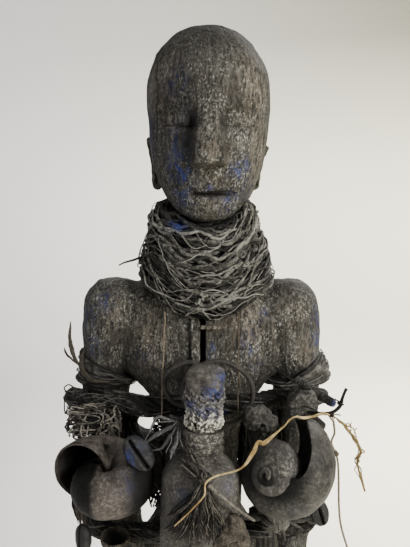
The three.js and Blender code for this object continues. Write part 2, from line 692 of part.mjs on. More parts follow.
// Pieces in order of firmness: each one gives way to those before it. A piece that comes with
// filled parts keeps the others out of its hollows.
const pieces = {
  carved_figure: () => carvedFigure(),
  bottle: () => hollowBottle(),
  bottle_stopper: () => bottleStopper(),
  right_snail_shell: () => rightSnailShell(),
  left_snail_shell: () => leftSnailShell(),
  left_cowrie: () => cowrie(-39.6, -74.5, 338, 26, -32, 8),
  right_cowrie: () => cowrie(79.5, -44, 283.5, 20, -20, 28),
  lower_left_cowrie: () => cowrie(-82.5, -46, 266, 21, 0, -70),
  left_iron_ring: () => ironRing(-8, -48.5, 376, 16, 6),
  right_iron_ring: () => ironRing(11.5, -53, 371, 23, 6),
  blue_tipped_peg: () => peg(vector(63, -46, 382), vector(88.5, -62, 368), 3.3),
  upper_rope: () => upperRope(),
  lower_rope: () => lowerRope(),
  neck_binding: () => neckBinding(),
  right_elbow_band: () => elbowBand(1, 367, 376, 4, 0.7),
  left_elbow_band: () => elbowBand(-1, 366.5, 381, 1, 0.5),
  left_fibre_wad: () =>
    fibreWad([
      [-39, 282, 7, -12, 8, 2.2],
      [-40, 289, 13, -16, 10, 2.2],
      [-41, 304, 16, -18, 11, 2.2],
      [-41, 316, 16, -17, 10, 2.2],
      [-43, 325, 13, -15, 8, 2.2],
      [-50, 331, 5, -12, 6, 2.2],
      [-50.5, 341, 4.5, -12, 6, 2.2],
      [-51, 350, 4, -10, 5, 2.2],
    ]),
  right_fibre_wad: () =>
    fibreWad([
      [43, 296, 10, -13, 8, 2.2],
      [43, 302, 15, -17, 10, 2.2],
      [42, 320, 16, -18, 11, 2.2],
      [43, 338, 15, -17, 10, 2.2],
      [45, 349, 12, -14, 8, 2.2],
      [46, 354, 7, -11, 6, 2.2],
    ]),
  bark_packet: () => barkPacket(),
  dark_peg: () => peg(vector(66, -56, 361), vector(79.7, -68, 351.3), 4.4),
  knotted_lump: () => knottedLump(),
  left_root_tangle: () => rootTangle(),
  root_tassel: () => rootTassel(),
  crust_lump: () => crustLump(),
  rimmed_cup: () => rimmedCup(),
  lower_knot: () => lowerKnot(),
  left_chest_slat: () => chestSlat(-3.5, 3, 420, 386),
  right_chest_slat: () => chestSlat(7, 3.6, 420, 386),
  cross_bar: () => crossBar(),
  left_chest_twine: () => chestTwine([[-24, -42, 424], [-25, -40, 404], [-26, -44, 378], [-26, -50, 352]]),
  right_chest_twine: () => chestTwine([[25.6, -42, 424], [25.6, -41, 404], [25.5, -46, 378], [25, -50, 356]]),
  knotted_twig: () => knottedTwig(),
  leaf_blade: () => leafBlade(),
  leaf_scraps: () => leafScraps(),
  leaf_bundle: () => leafBundle(),
  neck_splinter: () => cord([[-40, -14, 459, 1.2], [-48, -18, 456, 1], [-57, -22, 454, 0.6]], 0.9, { steps: 4 }),
  tassel_stick: () => cord([[5, -105, 329.5], [20, -99, 314], [34, -88, 299]], 1.2, { steps: 3 }),
  raffia_ribbon: () => raffiaRibbon(),
  hanging_twine: () => hangingTwine(),
  hanging_raffia: () => hangingRaffia(),
};

function boxesMeet(a, b) {
  const [p, q] = [a.boundingBox(), b.boundingBox()];
  return [0, 1, 2].every((i) => p.min[i] < q.max[i] + 1 && q.min[i] < p.max[i] + 1);
}

function assembled() {
  const group = new THREE.Group();
  const placed = [];
  for (const [name, make] of Object.entries(pieces)) {
    const made = make();
    let solid = made.solid ?? made;
    const near = placed.filter((one) => boxesMeet(one.solid, solid)).map((one) => one.wider);
    if (near.length) solid = solid.subtract(joined(near));
    solid = biggest(solidFrom(geometryFrom(biggest(solid).simplify(simplified))));
    const wider = (made.filled ?? [solid]).map((part) => grown(part, contactGap));
    placed.push({ solid, wider: joined(wider) });
    const mesh = new THREE.Mesh(geometryFrom(solid), new THREE.MeshStandardMaterial());
    mesh.name = name;
    group.add(mesh);
  }
  return group;
}

export default assembled();
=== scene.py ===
import math

import bpy
import numpy as np
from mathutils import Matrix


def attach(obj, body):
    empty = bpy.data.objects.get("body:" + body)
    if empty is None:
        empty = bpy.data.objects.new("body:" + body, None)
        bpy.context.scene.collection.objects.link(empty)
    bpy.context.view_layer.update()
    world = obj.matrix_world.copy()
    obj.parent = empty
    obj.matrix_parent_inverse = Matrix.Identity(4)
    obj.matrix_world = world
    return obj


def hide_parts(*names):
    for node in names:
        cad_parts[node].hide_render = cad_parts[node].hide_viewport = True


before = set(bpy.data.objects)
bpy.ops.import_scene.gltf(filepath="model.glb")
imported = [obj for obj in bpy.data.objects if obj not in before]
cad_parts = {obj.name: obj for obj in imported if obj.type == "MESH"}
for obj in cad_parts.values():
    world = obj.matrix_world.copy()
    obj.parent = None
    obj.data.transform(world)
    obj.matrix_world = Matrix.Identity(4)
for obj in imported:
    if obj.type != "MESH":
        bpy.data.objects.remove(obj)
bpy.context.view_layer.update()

# All shapes below are worked out in millimetres and become metres when they go into a mesh.
mm = 0.001


# Curves and noise

def through(rows, count, closed=False):
    # A smooth line through rows of numbers: each span is the Catmull-Rom cubic of its four nearest rows.
    rows = np.asarray(rows, float)
    total = len(rows)
    t = np.linspace(0, total if closed else total - 1, count, endpoint=not closed)
    i = np.minimum(t.astype(int), total - 1 if closed else total - 2)
    f = (t - i)[:, None]
    if closed:
        a, b, c, d = (rows[(i + shift) % total] for shift in (-1, 0, 1, 2))
    else:
        longer = np.vstack([2 * rows[:1] - rows[1:2], rows, 2 * rows[-1:] - rows[-2:-1]])
        a, b, c, d = (longer[i + shift] for shift in (0, 1, 2, 3))
    return 0.5 * (2 * b + (c - a) * f + (2 * a - 5 * b + 4 * c - d) * f**2 + (3 * b - a - 3 * c + d) * f**3)


def waves(points, size, seed, octaves=3, stretch=(1, 1, 1)):
    # Smooth noise near -1 to 1: sine waves in turned directions added up, each octave half as long.
    dice = np.random.default_rng(seed)
    points = np.asarray(points, float) / np.asarray(stretch, float)
    total, weight = 0.0, 0.0
    for octave in range(octaves):
        ways = dice.normal(size=(7, 3))
        ways /= np.linalg.norm(ways, axis=1, keepdims=True)
        ways *= dice.uniform(0.6, 1.4, (7, 1)) * 2 * np.pi * 2**octave / size
        total = (total
                 + 0.5**octave * np.sin(points @ ways.T + dice.uniform(0, 2 * np.pi, 7)).sum(axis=-1) / 2.6)
        weight += 0.5**octave
    return total / weight


def drift(points, size, seed):
    # Noise for each of the three axes, to bend a line or a surface.
    return np.stack([waves(points, size, seed + axis, 2) for axis in range(3)], -1)


def smooth(low, high, values):
    # 0 below low, 1 above high, and an S-shaped step between them.
    t = np.clip((values - low) / (high - low), 0, 1)
    return t * t * (3 - 2 * t)


def bump(values, middle, width, power=2):
    # 1 at the middle, falling to nothing about a width away on both sides.
    return np.exp(-np.abs((values - middle) / width) ** power)


def span(values, low, lowFull, highFull, high):
    # 0 outside low and high, 1 between the two inner numbers, with S-shaped steps.
    return smooth(low, lowFull, values) * (1 - smooth(highFull, high, values))


def spot(across, up, wide, high, power=1.0):
    # 1 in the middle of an oval spot, falling to nothing past its half width and half height.
    return np.exp(-((across / wide) ** 2 + (up / high) ** 2) ** power)


def signedPower(values, power):
    return np.sign(values) * np.abs(values) ** power


def circle(count):
    # Evenly spaced angles round a circle.
    return 2 * np.pi * np.arange(count) / count


def spun(x, z, angle):
    # Both numbers after a turn in their plane that brings x towards z's side.
    return x * math.cos(angle) + z * math.sin(angle), z * math.cos(angle) - x * math.sin(angle)


def unit(ways):
    return ways / np.maximum(np.linalg.norm(ways, axis=-1, keepdims=True), 1e-12)


# Surfaces are (points, quads, triangles). Rings of points in rows give closed tubes of any shape.

def tubes(rings, closed=False):
    # rings is tubes x rows x sides x 3. Neighbouring rings are joined by quads, and a fan to the
    # middle of the end ring closes each end.
    rings = np.asarray(rings, float)
    if rings.ndim == 3:
        rings = rings[None]
    count, rows, sides, _ = rings.shape
    grid = np.arange(count * rows * sides).reshape(count, rows, sides)
    here = grid if closed else grid[:, :-1]
    ahead = np.roll(grid, -1, axis=1) if closed else grid[:, 1:]
    quads = np.stack([here, np.roll(here, -1, axis=2), np.roll(ahead, -1, axis=2), ahead],
                     axis=-1).reshape(-1, 4)
    points = rings.reshape(-1, 3)
    triangles = np.zeros((0, 3), int)
    if not closed:
        ends = np.stack([rings[:, 0].mean(axis=1), rings[:, -1].mean(axis=1)], axis=1).reshape(-1, 3)
        first = np.broadcast_to((len(points) + 2 * np.arange(count))[:, None], (count, sides))
        start, stop = grid[:, 0], grid[:, -1]
        fans = [
            np.stack([first, np.roll(start, -1, axis=1), start], axis=-1),
            np.stack([first + 1, stop, np.roll(stop, -1, axis=1)], axis=-1),
        ]
        triangles = np.concatenate(fans).reshape(-1, 3)
        points = np.concatenate([points, ends])
    return outward((points, quads, triangles))


def outward(surface):
    # A closed surface whose signed volume is below zero is inside out, so its faces are turned round.
    points, quads, triangles = surface
    corners = np.concatenate([quads[:, :3], quads[:, [0, 2, 3]], triangles])
    a, b, c = (points[corners[:, k]] for k in range(3))
    if np.einsum("ij,ij->i", a, np.cross(b, c)).sum() < 0:
        quads, triangles = quads[:, ::-1], triangles[:, ::-1]
    return points, quads, triangles


def joined(surfaces):
    starts = np.cumsum([0] + [len(surface[0]) for surface in surfaces])
    return (
        np.concatenate([surface[0] for surface in surfaces]),
        np.concatenate([surface[1] + start for surface, start in zip(surfaces, starts)]),
        np.concatenate([surface[2] + start for surface, start in zip(surfaces, starts)]),
    )


def moved(surface, change):
    # The surface with its points changed by a function, or pushed out along its normals by a number each.
    points, quads, triangles = surface
    if callable(change):
        return change(points), quads, triangles
    return points + normalsOf(surface) * np.asarray(change)[:, None], quads, triangles


def normalsOf(surface):
    # Each point's normal is the sum of its faces' cross products.
    points, quads, triangles = surface
    corners = np.concatenate([quads[:, [0, 1, 2]], quads[:, [0, 2, 3]], triangles])
    a, b, c = (points[corners[:, k]] for k in range(3))
    faceWays = np.cross(b - a, c - a)
    total = np.zeros_like(points)
    for k in range(3):
        for axis in range(3):
            total[:, axis] += np.bincount(corners[:, k], faceWays[:, axis], len(points))
    return unit(total)


def softened(surface, rounds, keep=0.4):
    # Each point moves towards the mean of its neighbours, several times.
    points, quads, triangles = surface
    edges = np.concatenate([quads[:, [0, 1]], quads[:, [1, 2]], quads[:, [2, 3]], quads[:, [3, 0]]])
    if len(triangles):
        edges = np.concatenate([edges, triangles[:, [0, 1]], triangles[:, [1, 2]], triangles[:, [2, 0]]])
    edges = np.concatenate([edges, edges[:, ::-1]])
    share = np.bincount(edges[:, 0], minlength=len(points))[:, None]
    for _ in range(rounds):
        near = np.stack([np.bincount(edges[:, 0], points[edges[:, 1], k], len(points)) for k in range(3)],
                        axis=1)
        points = keep * points + (1 - keep) * near / share
    return points, quads, triangles


def ringsAlong(path, radius, sides=6, closed=False, up=None):
    # Rings round paths (tubes x rows x 3). The side way is across the path and `up` where that is
    # given, and else is carried along the path without twisting.
    path = np.asarray(path, float)
    if path.ndim == 2:
        path = path[None]
    if closed:
        way = unit(np.roll(path, -1, axis=1) - np.roll(path, 1, axis=1))
    else:
        way = unit(np.gradient(path, axis=1))
    if up is not None:
        high = np.broadcast_to(np.asarray(up, float), way.shape)
        high = unit(high - (high * way).sum(-1, keepdims=True) * way)
    else:
        high = np.zeros_like(way)
        first = np.where(np.abs(way[:, :1, 2:]) < 0.8, [[[0.0, 0.0, 1.0]]], [[[1.0, 0.0, 0.0]]])
        high[:, 0] = first[:, 0]
        for row in range(way.shape[1]):
            last = high[:, max(row - 1, 0)]
            high[:, row] = unit(last - (last * way[:, row]).sum(-1, keepdims=True) * way[:, row])
    side = np.cross(high, way)
    angles = circle(sides)
    radius = np.asarray(radius, float)
    radius = np.broadcast_to(radius if radius.ndim < 2 or radius.shape[0] > 1 else radius[0],
                             path.shape[:2])
    across = radius[..., None, None] * np.cos(angles)[:, None] * side[:, :, None]
    along = radius[..., None, None] * np.sin(angles)[:, None] * high[:, :, None]
    return path[:, :, None] + across + along


def strands(paths, radius, tint, sides=5, closed=False, up=None):
    # Many tubes at once, with one tint number for each tube on all of its points.
    rings = ringsAlong(paths, radius, sides, closed, up)
    surface = tubes(rings, closed)
    tint = np.broadcast_to(np.asarray(tint, float), rings.shape[:1])
    tints = np.repeat(tint, rings.shape[1] * sides)
    if not closed:
        tints = np.concatenate([tints, np.repeat(tint, 2)])
    return surface, tints


def tinted(surface, tint):
    # A surface with one tint on all of its points, in the form that strands gives.
    return surface, np.full(len(surface[0]), tint)


def gathered(bundles):
    # Strand bundles as one surface and one array of tints.
    return joined([bundle[0] for bundle in bundles]), np.concatenate([bundle[1] for bundle in bundles])


def ball(x, y, z, rx, ry, rz, sides=36, rows=20):
    # An ellipsoid from its two angles.
    fall = np.linspace(0.06, np.pi - 0.06, rows)[:, None]
    turn = circle(sides)[None]
    shape = [np.sin(fall) * np.cos(turn), np.sin(fall) * np.sin(turn), np.cos(fall) + 0 * turn]
    return tubes(np.stack(shape, axis=-1) * [rx, ry, rz] + [x, y, z])


def levelRings(x, z, half, front, back, sides, squareness=2.0):
    # Level ovals, one a row: half widths, reach to front and back, and how square they are.
    x, z, half, front, back, squareness = np.broadcast_arrays(x, z, half, front, back, squareness)
    turn = 2 * np.pi * (np.arange(sides) + 0.5) / sides
    power = (2 / squareness)[:, None]
    across = half[:, None] * signedPower(np.cos(turn)[None], power)
    along = ((back - front)[:, None] / 2 * signedPower(np.sin(turn)[None], power)
             + (back + front)[:, None] / 2)
    return np.stack([x[:, None] + across, along, z[:, None] + 0 * across], axis=-1)


def fused(surfaces, voxel, rounds):
    # Overlapping closed surfaces become one skin: a voxel remesh, then softening.
    mesh = meshFrom("fused", joined(surfaces), 1.0)
    carrier = bpy.data.objects.new("fused", mesh)
    bpy.context.scene.collection.objects.link(carrier)
    remesh = carrier.modifiers.new("oneSkin", "REMESH")
    remesh.mode = "VOXEL"
    remesh.voxel_size = voxel
    skin = bpy.data.meshes.new_from_object(carrier.evaluated_get(bpy.context.evaluated_depsgraph_get()))
    points = np.empty(3 * len(skin.vertices), np.float32)
    skin.vertices.foreach_get("co", points)
    corners = np.empty(len(skin.loops), np.int32)
    skin.loops.foreach_get("vertex_index", corners)
    bpy.data.objects.remove(carrier)
    surface = points.reshape(-1, 3).astype(float), corners.reshape(-1, 4).astype(int), np.zeros((0, 3), int)
    bpy.data.meshes.remove(skin)
    return softened(surface, rounds)


def meshFrom(name, surface, scale=mm):
    points, quads, triangles = surface
    mesh = bpy.data.meshes.new(name)
    corners = np.concatenate([quads.ravel(), triangles.ravel()]).astype(np.int32)
    starts = np.concatenate([4 * np.arange(len(quads)), 4 * len(quads) + 3 * np.arange(len(triangles))])
    mesh.vertices.add(len(points))
    mesh.vertices.foreach_set("co", (np.asarray(points) * scale).astype(np.float32).ravel())
    mesh.loops.add(len(corners))
    mesh.loops.foreach_set("vertex_index", corners)
    mesh.polygons.add(len(starts))
    mesh.polygons.foreach_set("loop_start", starts.astype(np.int32))
    mesh.update(calc_edges=True)
    mesh.polygons.foreach_set("use_smooth", np.ones(len(starts), bool))
    return mesh


def addPiece(name, surface, material, replaces=(), layers=None):
    # Makes the object, gives its points their named numbers, and says which node it stands for.
    mesh = meshFrom(name, surface)
    for layer, values in (layers or {}).items():
        values = np.broadcast_to(np.asarray(values, float), len(surface[0]))
        mesh.attributes.new(layer, "FLOAT", "POINT").data.foreach_set("value", values.astype(np.float32))
    mesh.materials.append(material)
    piece = bpy.data.objects.new(name, mesh)
    bpy.context.scene.collection.objects.link(piece)
    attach(piece, "root")
    if replaces:
        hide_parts(*replaces)
    return piece


# Materials: small helpers for the node trees, then one function for each finish

def node(tree, kind, inputs=None, out=0, **settings):
    made = tree.nodes.new("ShaderNode" + kind)
    for key, value in settings.items():
        setattr(made, key, value)
    for key, value in (inputs or {}).items():
        if isinstance(value, bpy.types.NodeSocket):
            tree.links.new(value, made.inputs[key])
        else:
            made.inputs[key].default_value = value
    return made.outputs[out]


def coords(tree, scale=(1, 1, 1), turn=(0, 0, 0)):
    place = node(tree, "TexCoord", out="Object")
    return node(tree, "Mapping", {"Vector": place, "Scale": scale, "Rotation": turn})


def noise(tree, vector, scale, detail=4.0, roughness=0.6):
    values = {"Vector": vector, "Scale": scale, "Detail": detail, "Roughness": roughness}
    return node(tree, "TexNoise", values)


def ramp(tree, factor, stops):
    # stops are (place, colour or grey).
    made = tree.nodes.new("ShaderNodeValToRGB")
    tree.links.new(factor, made.inputs[0])
    for i, (place, value) in enumerate(stops):
        element = made.color_ramp.elements[i] if i < 2 else made.color_ramp.elements.new(place)
        element.position = place
        element.color = (*value, 1) if isinstance(value, tuple) else (value, value, value, 1)
    return made.outputs[0]


def mixed(tree, factor, first, second, blend="MIX"):
    values = {0: factor, 6: first, 7: second}
    values = {k: (*v, 1) if isinstance(v, tuple) and len(v) == 3 else v for k, v in values.items()}
    return node(tree, "Mix", values, out=2, data_type="RGBA", blend_type=blend)


def calc(tree, operation, *values, clamp=False):
    return node(tree, "Math", dict(enumerate(values)), operation=operation, use_clamp=clamp)


def layer(tree, name):
    return node(tree, "Attribute", out="Fac", attribute_name=name)


def finishMaterial(name, build, distance, strength, specular):
    # build gives the colour, roughness and height sockets of one finish.
    material = bpy.data.materials.new(name)
    material.use_nodes = True
    tree = material.node_tree
    tree.nodes.clear()
    colour, rough, height = build(tree)
    values = {"Base Color": colour, "Roughness": rough, "Specular IOR Level": specular}
    values["Normal"] = node(tree, "Bump", {"Height": height, "Distance": distance, "Strength": strength})
    shader = node(tree, "BsdfPrincipled", values)
    output = tree.nodes.new("ShaderNodeOutputMaterial")
    tree.links.new(shader, output.inputs["Surface"])
    return material


woodLook = {
    "deep": (0.006, 0.0055, 0.005),
    "brown": (0.027, 0.0250, 0.0220),
    "grey": (0.083, 0.082, 0.077),
    "pale": (0.39, 0.39, 0.35),
    "tan": (0.165, 0.135, 0.10),
    "blue": (0.016, 0.032, 0.150),
    "grainWidth": 1.5,  # mm
    "grainStretch": 0.27,
}


def woodMaterial(name, look, tone=1.0):
    # Weathered carving: streaks along the height, chalky specks, rubbed tan places and blue pigment,
    # and a dark layer that is mostly painted shade.
    def build(tree):
        place = coords(tree)
        long = coords(tree, (1, 1, look["grainStretch"]))
        broad = noise(tree, place, 26, 3)
        grain = noise(tree, long, 1000 / look["grainWidth"] / 1.6, 5, 0.72)
        fine = noise(tree, coords(tree, (1, 1, 0.62)), 760, 3, 0.8)
        mottle = calc(tree, "MULTIPLY_ADD", grain, 0.62, calc(tree, "MULTIPLY", broad, 0.38))
        colour = ramp(tree, mottle, [(0.36, look["deep"]), (0.50, look["brown"]), (0.64, look["grey"])])
        rub = calc(tree, "MULTIPLY", layer(tree, "rub"), ramp(tree, grain, [(0.42, 0.0), (0.60, 1.0)]))
        colour = mixed(tree, rub, colour, look["tan"])
        dust = noise(tree, place, 55, 4, 0.7)
        dust = ramp(tree, dust, [(0.40, 0.12), (0.62, 1.0)])
        dust = calc(tree, "MULTIPLY", dust, calc(tree, "ADD", layer(tree, "dust"), 0.55, clamp=True))
        speck = calc(tree, "MULTIPLY", ramp(tree, fine, [(0.52, 0.0), (0.66, 1.0)]), dust)
        colour = mixed(tree, speck, colour, look["pale"])
        streak = noise(tree, coords(tree, (1, 1, 0.5), (0, 0.25, 0)), 300, 5, 0.78)
        blue = calc(tree, "MULTIPLY", layer(tree, "pigment"),
                    ramp(tree, streak, [(0.46, 0.0), (0.60, 1.0)]))
        colour = mixed(tree, blue, colour, look["blue"])
        # painted shade, and dark tone where a piece gives it: the dark layer mixes towards near black
        shade = calc(tree, "MULTIPLY", layer(tree, "shadeAndDarkTone"), 0.92)
        colour = mixed(tree, shade, colour, (0.006, 0.0055, 0.005))
        if tone != 1.0:
            colour = mixed(tree, 1.0, colour, (tone, tone, tone), "MULTIPLY")
        height = calc(tree, "MULTIPLY_ADD", fine, 0.5, calc(tree, "MULTIPLY", grain, 0.8))
        rough = ramp(tree, grain, [(0.35, 0.62), (0.65, 0.88)])
        return colour, rough, height

    return finishMaterial(name, build, 0.0011, 0.9, 0.12)


fibreLook = {"deep": (0.003, 0.0028, 0.0026), "mid": (0.031, 0.029, 0.026), "pale": (0.22, 0.212, 0.188)}
ropeLook = {"deep": (0.0022, 0.0021, 0.002), "mid": (0.013, 0.012, 0.011), "pale": (0.10, 0.095, 0.086)}
rootLook = {"deep": (0.004, 0.0037, 0.0034), "mid": (0.027, 0.024, 0.021), "pale": (0.18, 0.162, 0.138)}
twineLook = {"deep": (0.016, 0.013, 0.010), "mid": (0.080, 0.064, 0.044), "pale": (0.22, 0.18, 0.13)}
leafLook = {"deep": (0.010, 0.010, 0.0105), "mid": (0.045, 0.044, 0.043), "pale": (0.17, 0.172, 0.178)}
bladeLook = {"deep": (0.008, 0.007, 0.006), "mid": (0.034, 0.028, 0.022), "pale": (0.11, 0.092, 0.07)}
barkLook = {"deep": (0.008, 0.0075, 0.007), "mid": (0.045, 0.042, 0.038), "pale": (0.16, 0.152, 0.138)}
darkBarkLook = {"deep": (0.005, 0.0047, 0.0044), "mid": (0.020, 0.0185, 0.017),
                "pale": (0.080, 0.076, 0.070)}
raffiaLook = {"deep": (0.06, 0.036, 0.014), "mid": (0.21, 0.14, 0.055), "pale": (0.50, 0.40, 0.21)}


def strandMaterial(name, look, pigment=False, grain=500):
    # Fibres: each strand has its own tint, with streaks and dust over it.
    def build(tree):
        place = coords(tree)
        broad = noise(tree, place, 60, 3)
        fine = noise(tree, place, grain, 4, 0.7)
        mottle = calc(tree, "MULTIPLY_ADD", fine, 1.05, -0.295)
        mottle = calc(tree, "MULTIPLY_ADD", layer(tree, "tint"), 0.55, mottle)
        mottle = calc(tree, "MULTIPLY_ADD", calc(tree, "SUBTRACT", broad, 0.5), 0.5, mottle)
        colour = ramp(tree, mottle, [(0.12, look["deep"]), (0.45, look["mid"]), (0.86, look["pale"])])
        if pigment:
            streak = ramp(tree, noise(tree, place, 200, 4, 0.7), [(0.40, 0.0), (0.56, 1.0)])
            colour = mixed(tree, calc(tree, "MULTIPLY", layer(tree, "pigment"), streak), colour,
                           woodLook["blue"])
        return colour, ramp(tree, fine, [(0.3, 0.66), (0.7, 0.92)]), fine

    return finishMaterial(name, build, 0.0004, 0.8, 0.18)


def crustMaterial(name, deep, mid, pale, size=90, pits=700, cover=(0.47, 0.66), pigment=True,
                  rough=(0.6, 0.9)):
    # Crusty skins: a ground of two tones, a granular pale layer, blue pigment where it is marked, and a
    # dark layer for painted shade and dark tone.
    def build(tree):
        place = coords(tree)
        broad = noise(tree, place, size, 4, 0.6)
        fine = noise(tree, place, pits, 5, 0.75)
        ground = calc(tree, "MULTIPLY_ADD", broad, 0.6, calc(tree, "MULTIPLY", fine, 0.4))
        colour = ramp(tree, ground, [(0.38, deep), (0.60, mid)])
        dust = calc(tree, "ADD", calc(tree, "MULTIPLY", broad, 0.5), layer(tree, "dust"))
        speck = calc(tree, "MULTIPLY", ramp(tree, fine, [(cover[0], 0.0), (cover[1], 1.0)]), dust,
                     clamp=True)
        colour = mixed(tree, speck, colour, pale)
        if pigment:
            streak = ramp(tree, noise(tree, place, 330, 4, 0.7), [(0.42, 0.0), (0.54, 1.0)])
            colour = mixed(tree, calc(tree, "MULTIPLY", layer(tree, "pigment"), streak), colour,
                           woodLook["blue"])
        # painted shade and dark tone: the dark layer mixes towards near black
        colour = mixed(tree, calc(tree, "MULTIPLY", layer(tree, "shadeAndDarkTone"), 0.95), colour,
                       (0.005, 0.0045, 0.004))
        return colour, ramp(tree, fine, [(0.35, rough[0]), (0.65, rough[1])]), fine

    return finishMaterial(name, build, 0.0008, 0.85, 0.2)


def shellMaterial(name, deep, mid, pale):
    # Old snail shell: growth streaks round the turns from the piece's own attribute, under dust, and a
    # dark layer for painted shade.
    def build(tree):
        place = coords(tree)
        growth = layer(tree, "growth")
        values = {"W": calc(tree, "MULTIPLY", growth, 60), "Scale": 1.0, "Detail": 3.0}
        lines = node(tree, "TexNoise", values, noise_dimensions="1D")
        broad = noise(tree, place, 45, 4, 0.65)
        fine = noise(tree, place, 430, 4, 0.75)
        cloud = noise(tree, coords(tree, (1, 1, 0.6)), 190, 4, 0.7)
        mottle = calc(tree, "MULTIPLY_ADD", broad, 0.45, calc(tree, "MULTIPLY", cloud, 0.43))
        mottle = calc(tree, "MULTIPLY_ADD", lines, 0.12, mottle)
        colour = ramp(tree, mottle, [(0.38, deep), (0.58, mid)])
        dust = calc(tree, "MULTIPLY", broad, calc(tree, "ADD", layer(tree, "dust"), 0.45))
        speck = calc(tree, "MULTIPLY", ramp(tree, fine, [(0.48, 0.0), (0.66, 1.0)]), dust)
        colour = mixed(tree, speck, colour, pale)
        streak = ramp(tree, noise(tree, place, 150, 4, 0.7), [(0.42, 0.0), (0.58, 1.0)])
        colour = mixed(tree, calc(tree, "MULTIPLY", layer(tree, "pigment"), streak), colour,
                       (0.02, 0.03, 0.11))
        # painted shade: the dark layer mixes towards black
        colour = mixed(tree, calc(tree, "MULTIPLY", layer(tree, "shadeAndDarkTone"), 0.985), colour,
                       (0.002, 0.002, 0.0018))
        height = calc(tree, "MULTIPLY_ADD", lines, 0.1, fine)
        return colour, ramp(tree, fine, [(0.35, 0.5), (0.65, 0.82)]), height

    return finishMaterial(name, build, 0.0005, 0.8, 0.16)


print("camera, light and floor")

view = {"place": (0.0029, -0.520, 0.509), "pitchDown": 7.0, "lens": 47.5}
studio = {
    "cool": (0.80, 0.785, 0.795),
    "warm": (0.86, 0.83, 0.66),
    "floorRadius": 2.2,
    "wallHeight": 3.4,
    "ambient": 0.735,
    # painted light on the paper: its brightness high on the wall, at its foot and near the object;
    # then what the right adds
    "shades": ((0.375, -0.215), (1.01, 0.11), (0.93, 0.21)),
    # name, place, aim, size, watts, colour
    "lamps": [
        ("keyLamp", (1.55, -1.5, 1.15), (0, 0, 0.42), 0.8, 79, (1.0, 0.99, 0.965)),
        ("fillLamp", (-1.9, -1.7, 0.9), (0, 0, 0.4), 1.4, 10, (0.86, 0.93, 1.0)),
        ("wallLamp", (0.5, 1.5, 1.6), (0.5, 3.1, 0.35), 1.6, 79, (1.0, 0.99, 0.965)),
        ("floorLamp", (0.9, 1.5, 1.4), (0.2, 0.45, 0), 1.0, 13.5, (1.0, 0.99, 0.965)),
    ],
    "spreads": {"floorLamp": 0.95},  # radians: its light stays off the head
}


def addCamera():
    data = bpy.data.cameras.new("viewCamera")
    data.lens = view["lens"]
    data.sensor_width = 36.0
    data.clip_start = 0.01
    camera = bpy.data.objects.new("viewCamera", data)
    camera.location = view["place"]
    camera.rotation_euler = (math.radians(90 - view["pitchDown"]), 0, 0)
    bpy.context.scene.collection.objects.link(camera)
    bpy.context.scene.camera = camera


def addStudio():
    # The floor and its wall are one bowl: a disc, a quarter circle and an upright wall, turned about Z.
    radius, bend, high = studio["floorRadius"], 0.9, studio["wallHeight"]
    curve = np.linspace(0, np.pi / 2, 14)
    reach = np.concatenate([np.linspace(0.02, 2, 16), radius + bend * np.sin(curve),
                            np.full(8, radius + bend)])
    height = np.concatenate([np.zeros(16), bend * (1 - np.cos(curve)), np.linspace(bend, high, 9)[1:]])
    turn = circle(96)
    rings = np.stack([reach[:, None] * np.cos(turn), reach[:, None] * np.sin(turn), height[:, None]
                      + 0 * turn], -1)
    points, quads, triangles = tubes(rings)
    triangles = triangles[(triangles < 96).any(axis=1)]  # the bowl stays open at the top
    mesh = meshFrom("paleBowl", (points, quads[:, ::-1], triangles[:, ::-1]), 1.0)
    # painted light on the paper: darker high up, and warmer towards the right, where its lower part
    # is lighter
    x, y, z = points.T
    right = np.clip(x / (0.28 * np.maximum(y + 0.52, 0.8)), -1, 1)
    wall, foot, near = (first + right * more for first, more in studio["shades"])
    shade = wall + (foot - wall) * smooth(1.45, 0.25, z)
    shade = shade + (near - shade) * smooth(2.2, 0.5, np.hypot(x, y))
    shades = {"warmLight": 0.5 + 0.5 * right, "shade": shade}
    for name, values in shades.items():
        mesh.attributes.new(name, "FLOAT", "POINT").data.foreach_set("value", values.astype(np.float32))

    def build(tree):
        mottle = noise(tree, coords(tree), 1.2, 2)
        colour = ramp(tree, layer(tree, "warmLight"), [(0.0, studio["cool"]), (1.0, studio["warm"])])
        shade = layer(tree, "shade")
        colour = mixed(tree, 1.0, colour, shade, "MULTIPLY")
        return colour, ramp(tree, mottle, [(0.0, 0.9), (1.0, 0.95)]), mottle

    mesh.materials.append(finishMaterial("paleWall", build, 0.0001, 0.1, 0.1))
    bowl = bpy.data.objects.new("paleBowl", mesh)
    bpy.context.scene.collection.objects.link(bowl)
    for name, place, target, size, watts, colour in studio["lamps"]:
        data = bpy.data.lights.new(name, "AREA")
        data.shape = "DISK"
        data.size = size
        data.energy = watts
        data.spread = studio["spreads"].get(name, np.pi)
        data.color = colour
        lamp = bpy.data.objects.new(name, data)
        lamp.location = place
        aim = np.subtract(target, place)
        tip = math.atan2(math.hypot(aim[0], aim[1]), -aim[2])
        lamp.rotation_euler = (tip, 0, math.atan2(-aim[0], aim[1]))
        lamp.visible_camera = False
        bpy.context.scene.collection.objects.link(lamp)
    world = bpy.data.worlds.new("paleRoom")
    world.use_nodes = True
    world.node_tree.nodes["Background"].inputs["Color"].default_value = (1.0, 0.995, 0.98, 1)
    world.node_tree.nodes["Background"].inputs["Strength"].default_value = studio["ambient"]
    bpy.context.scene.world = world


addCamera()
addStudio()

print("hanging twine and raffia")

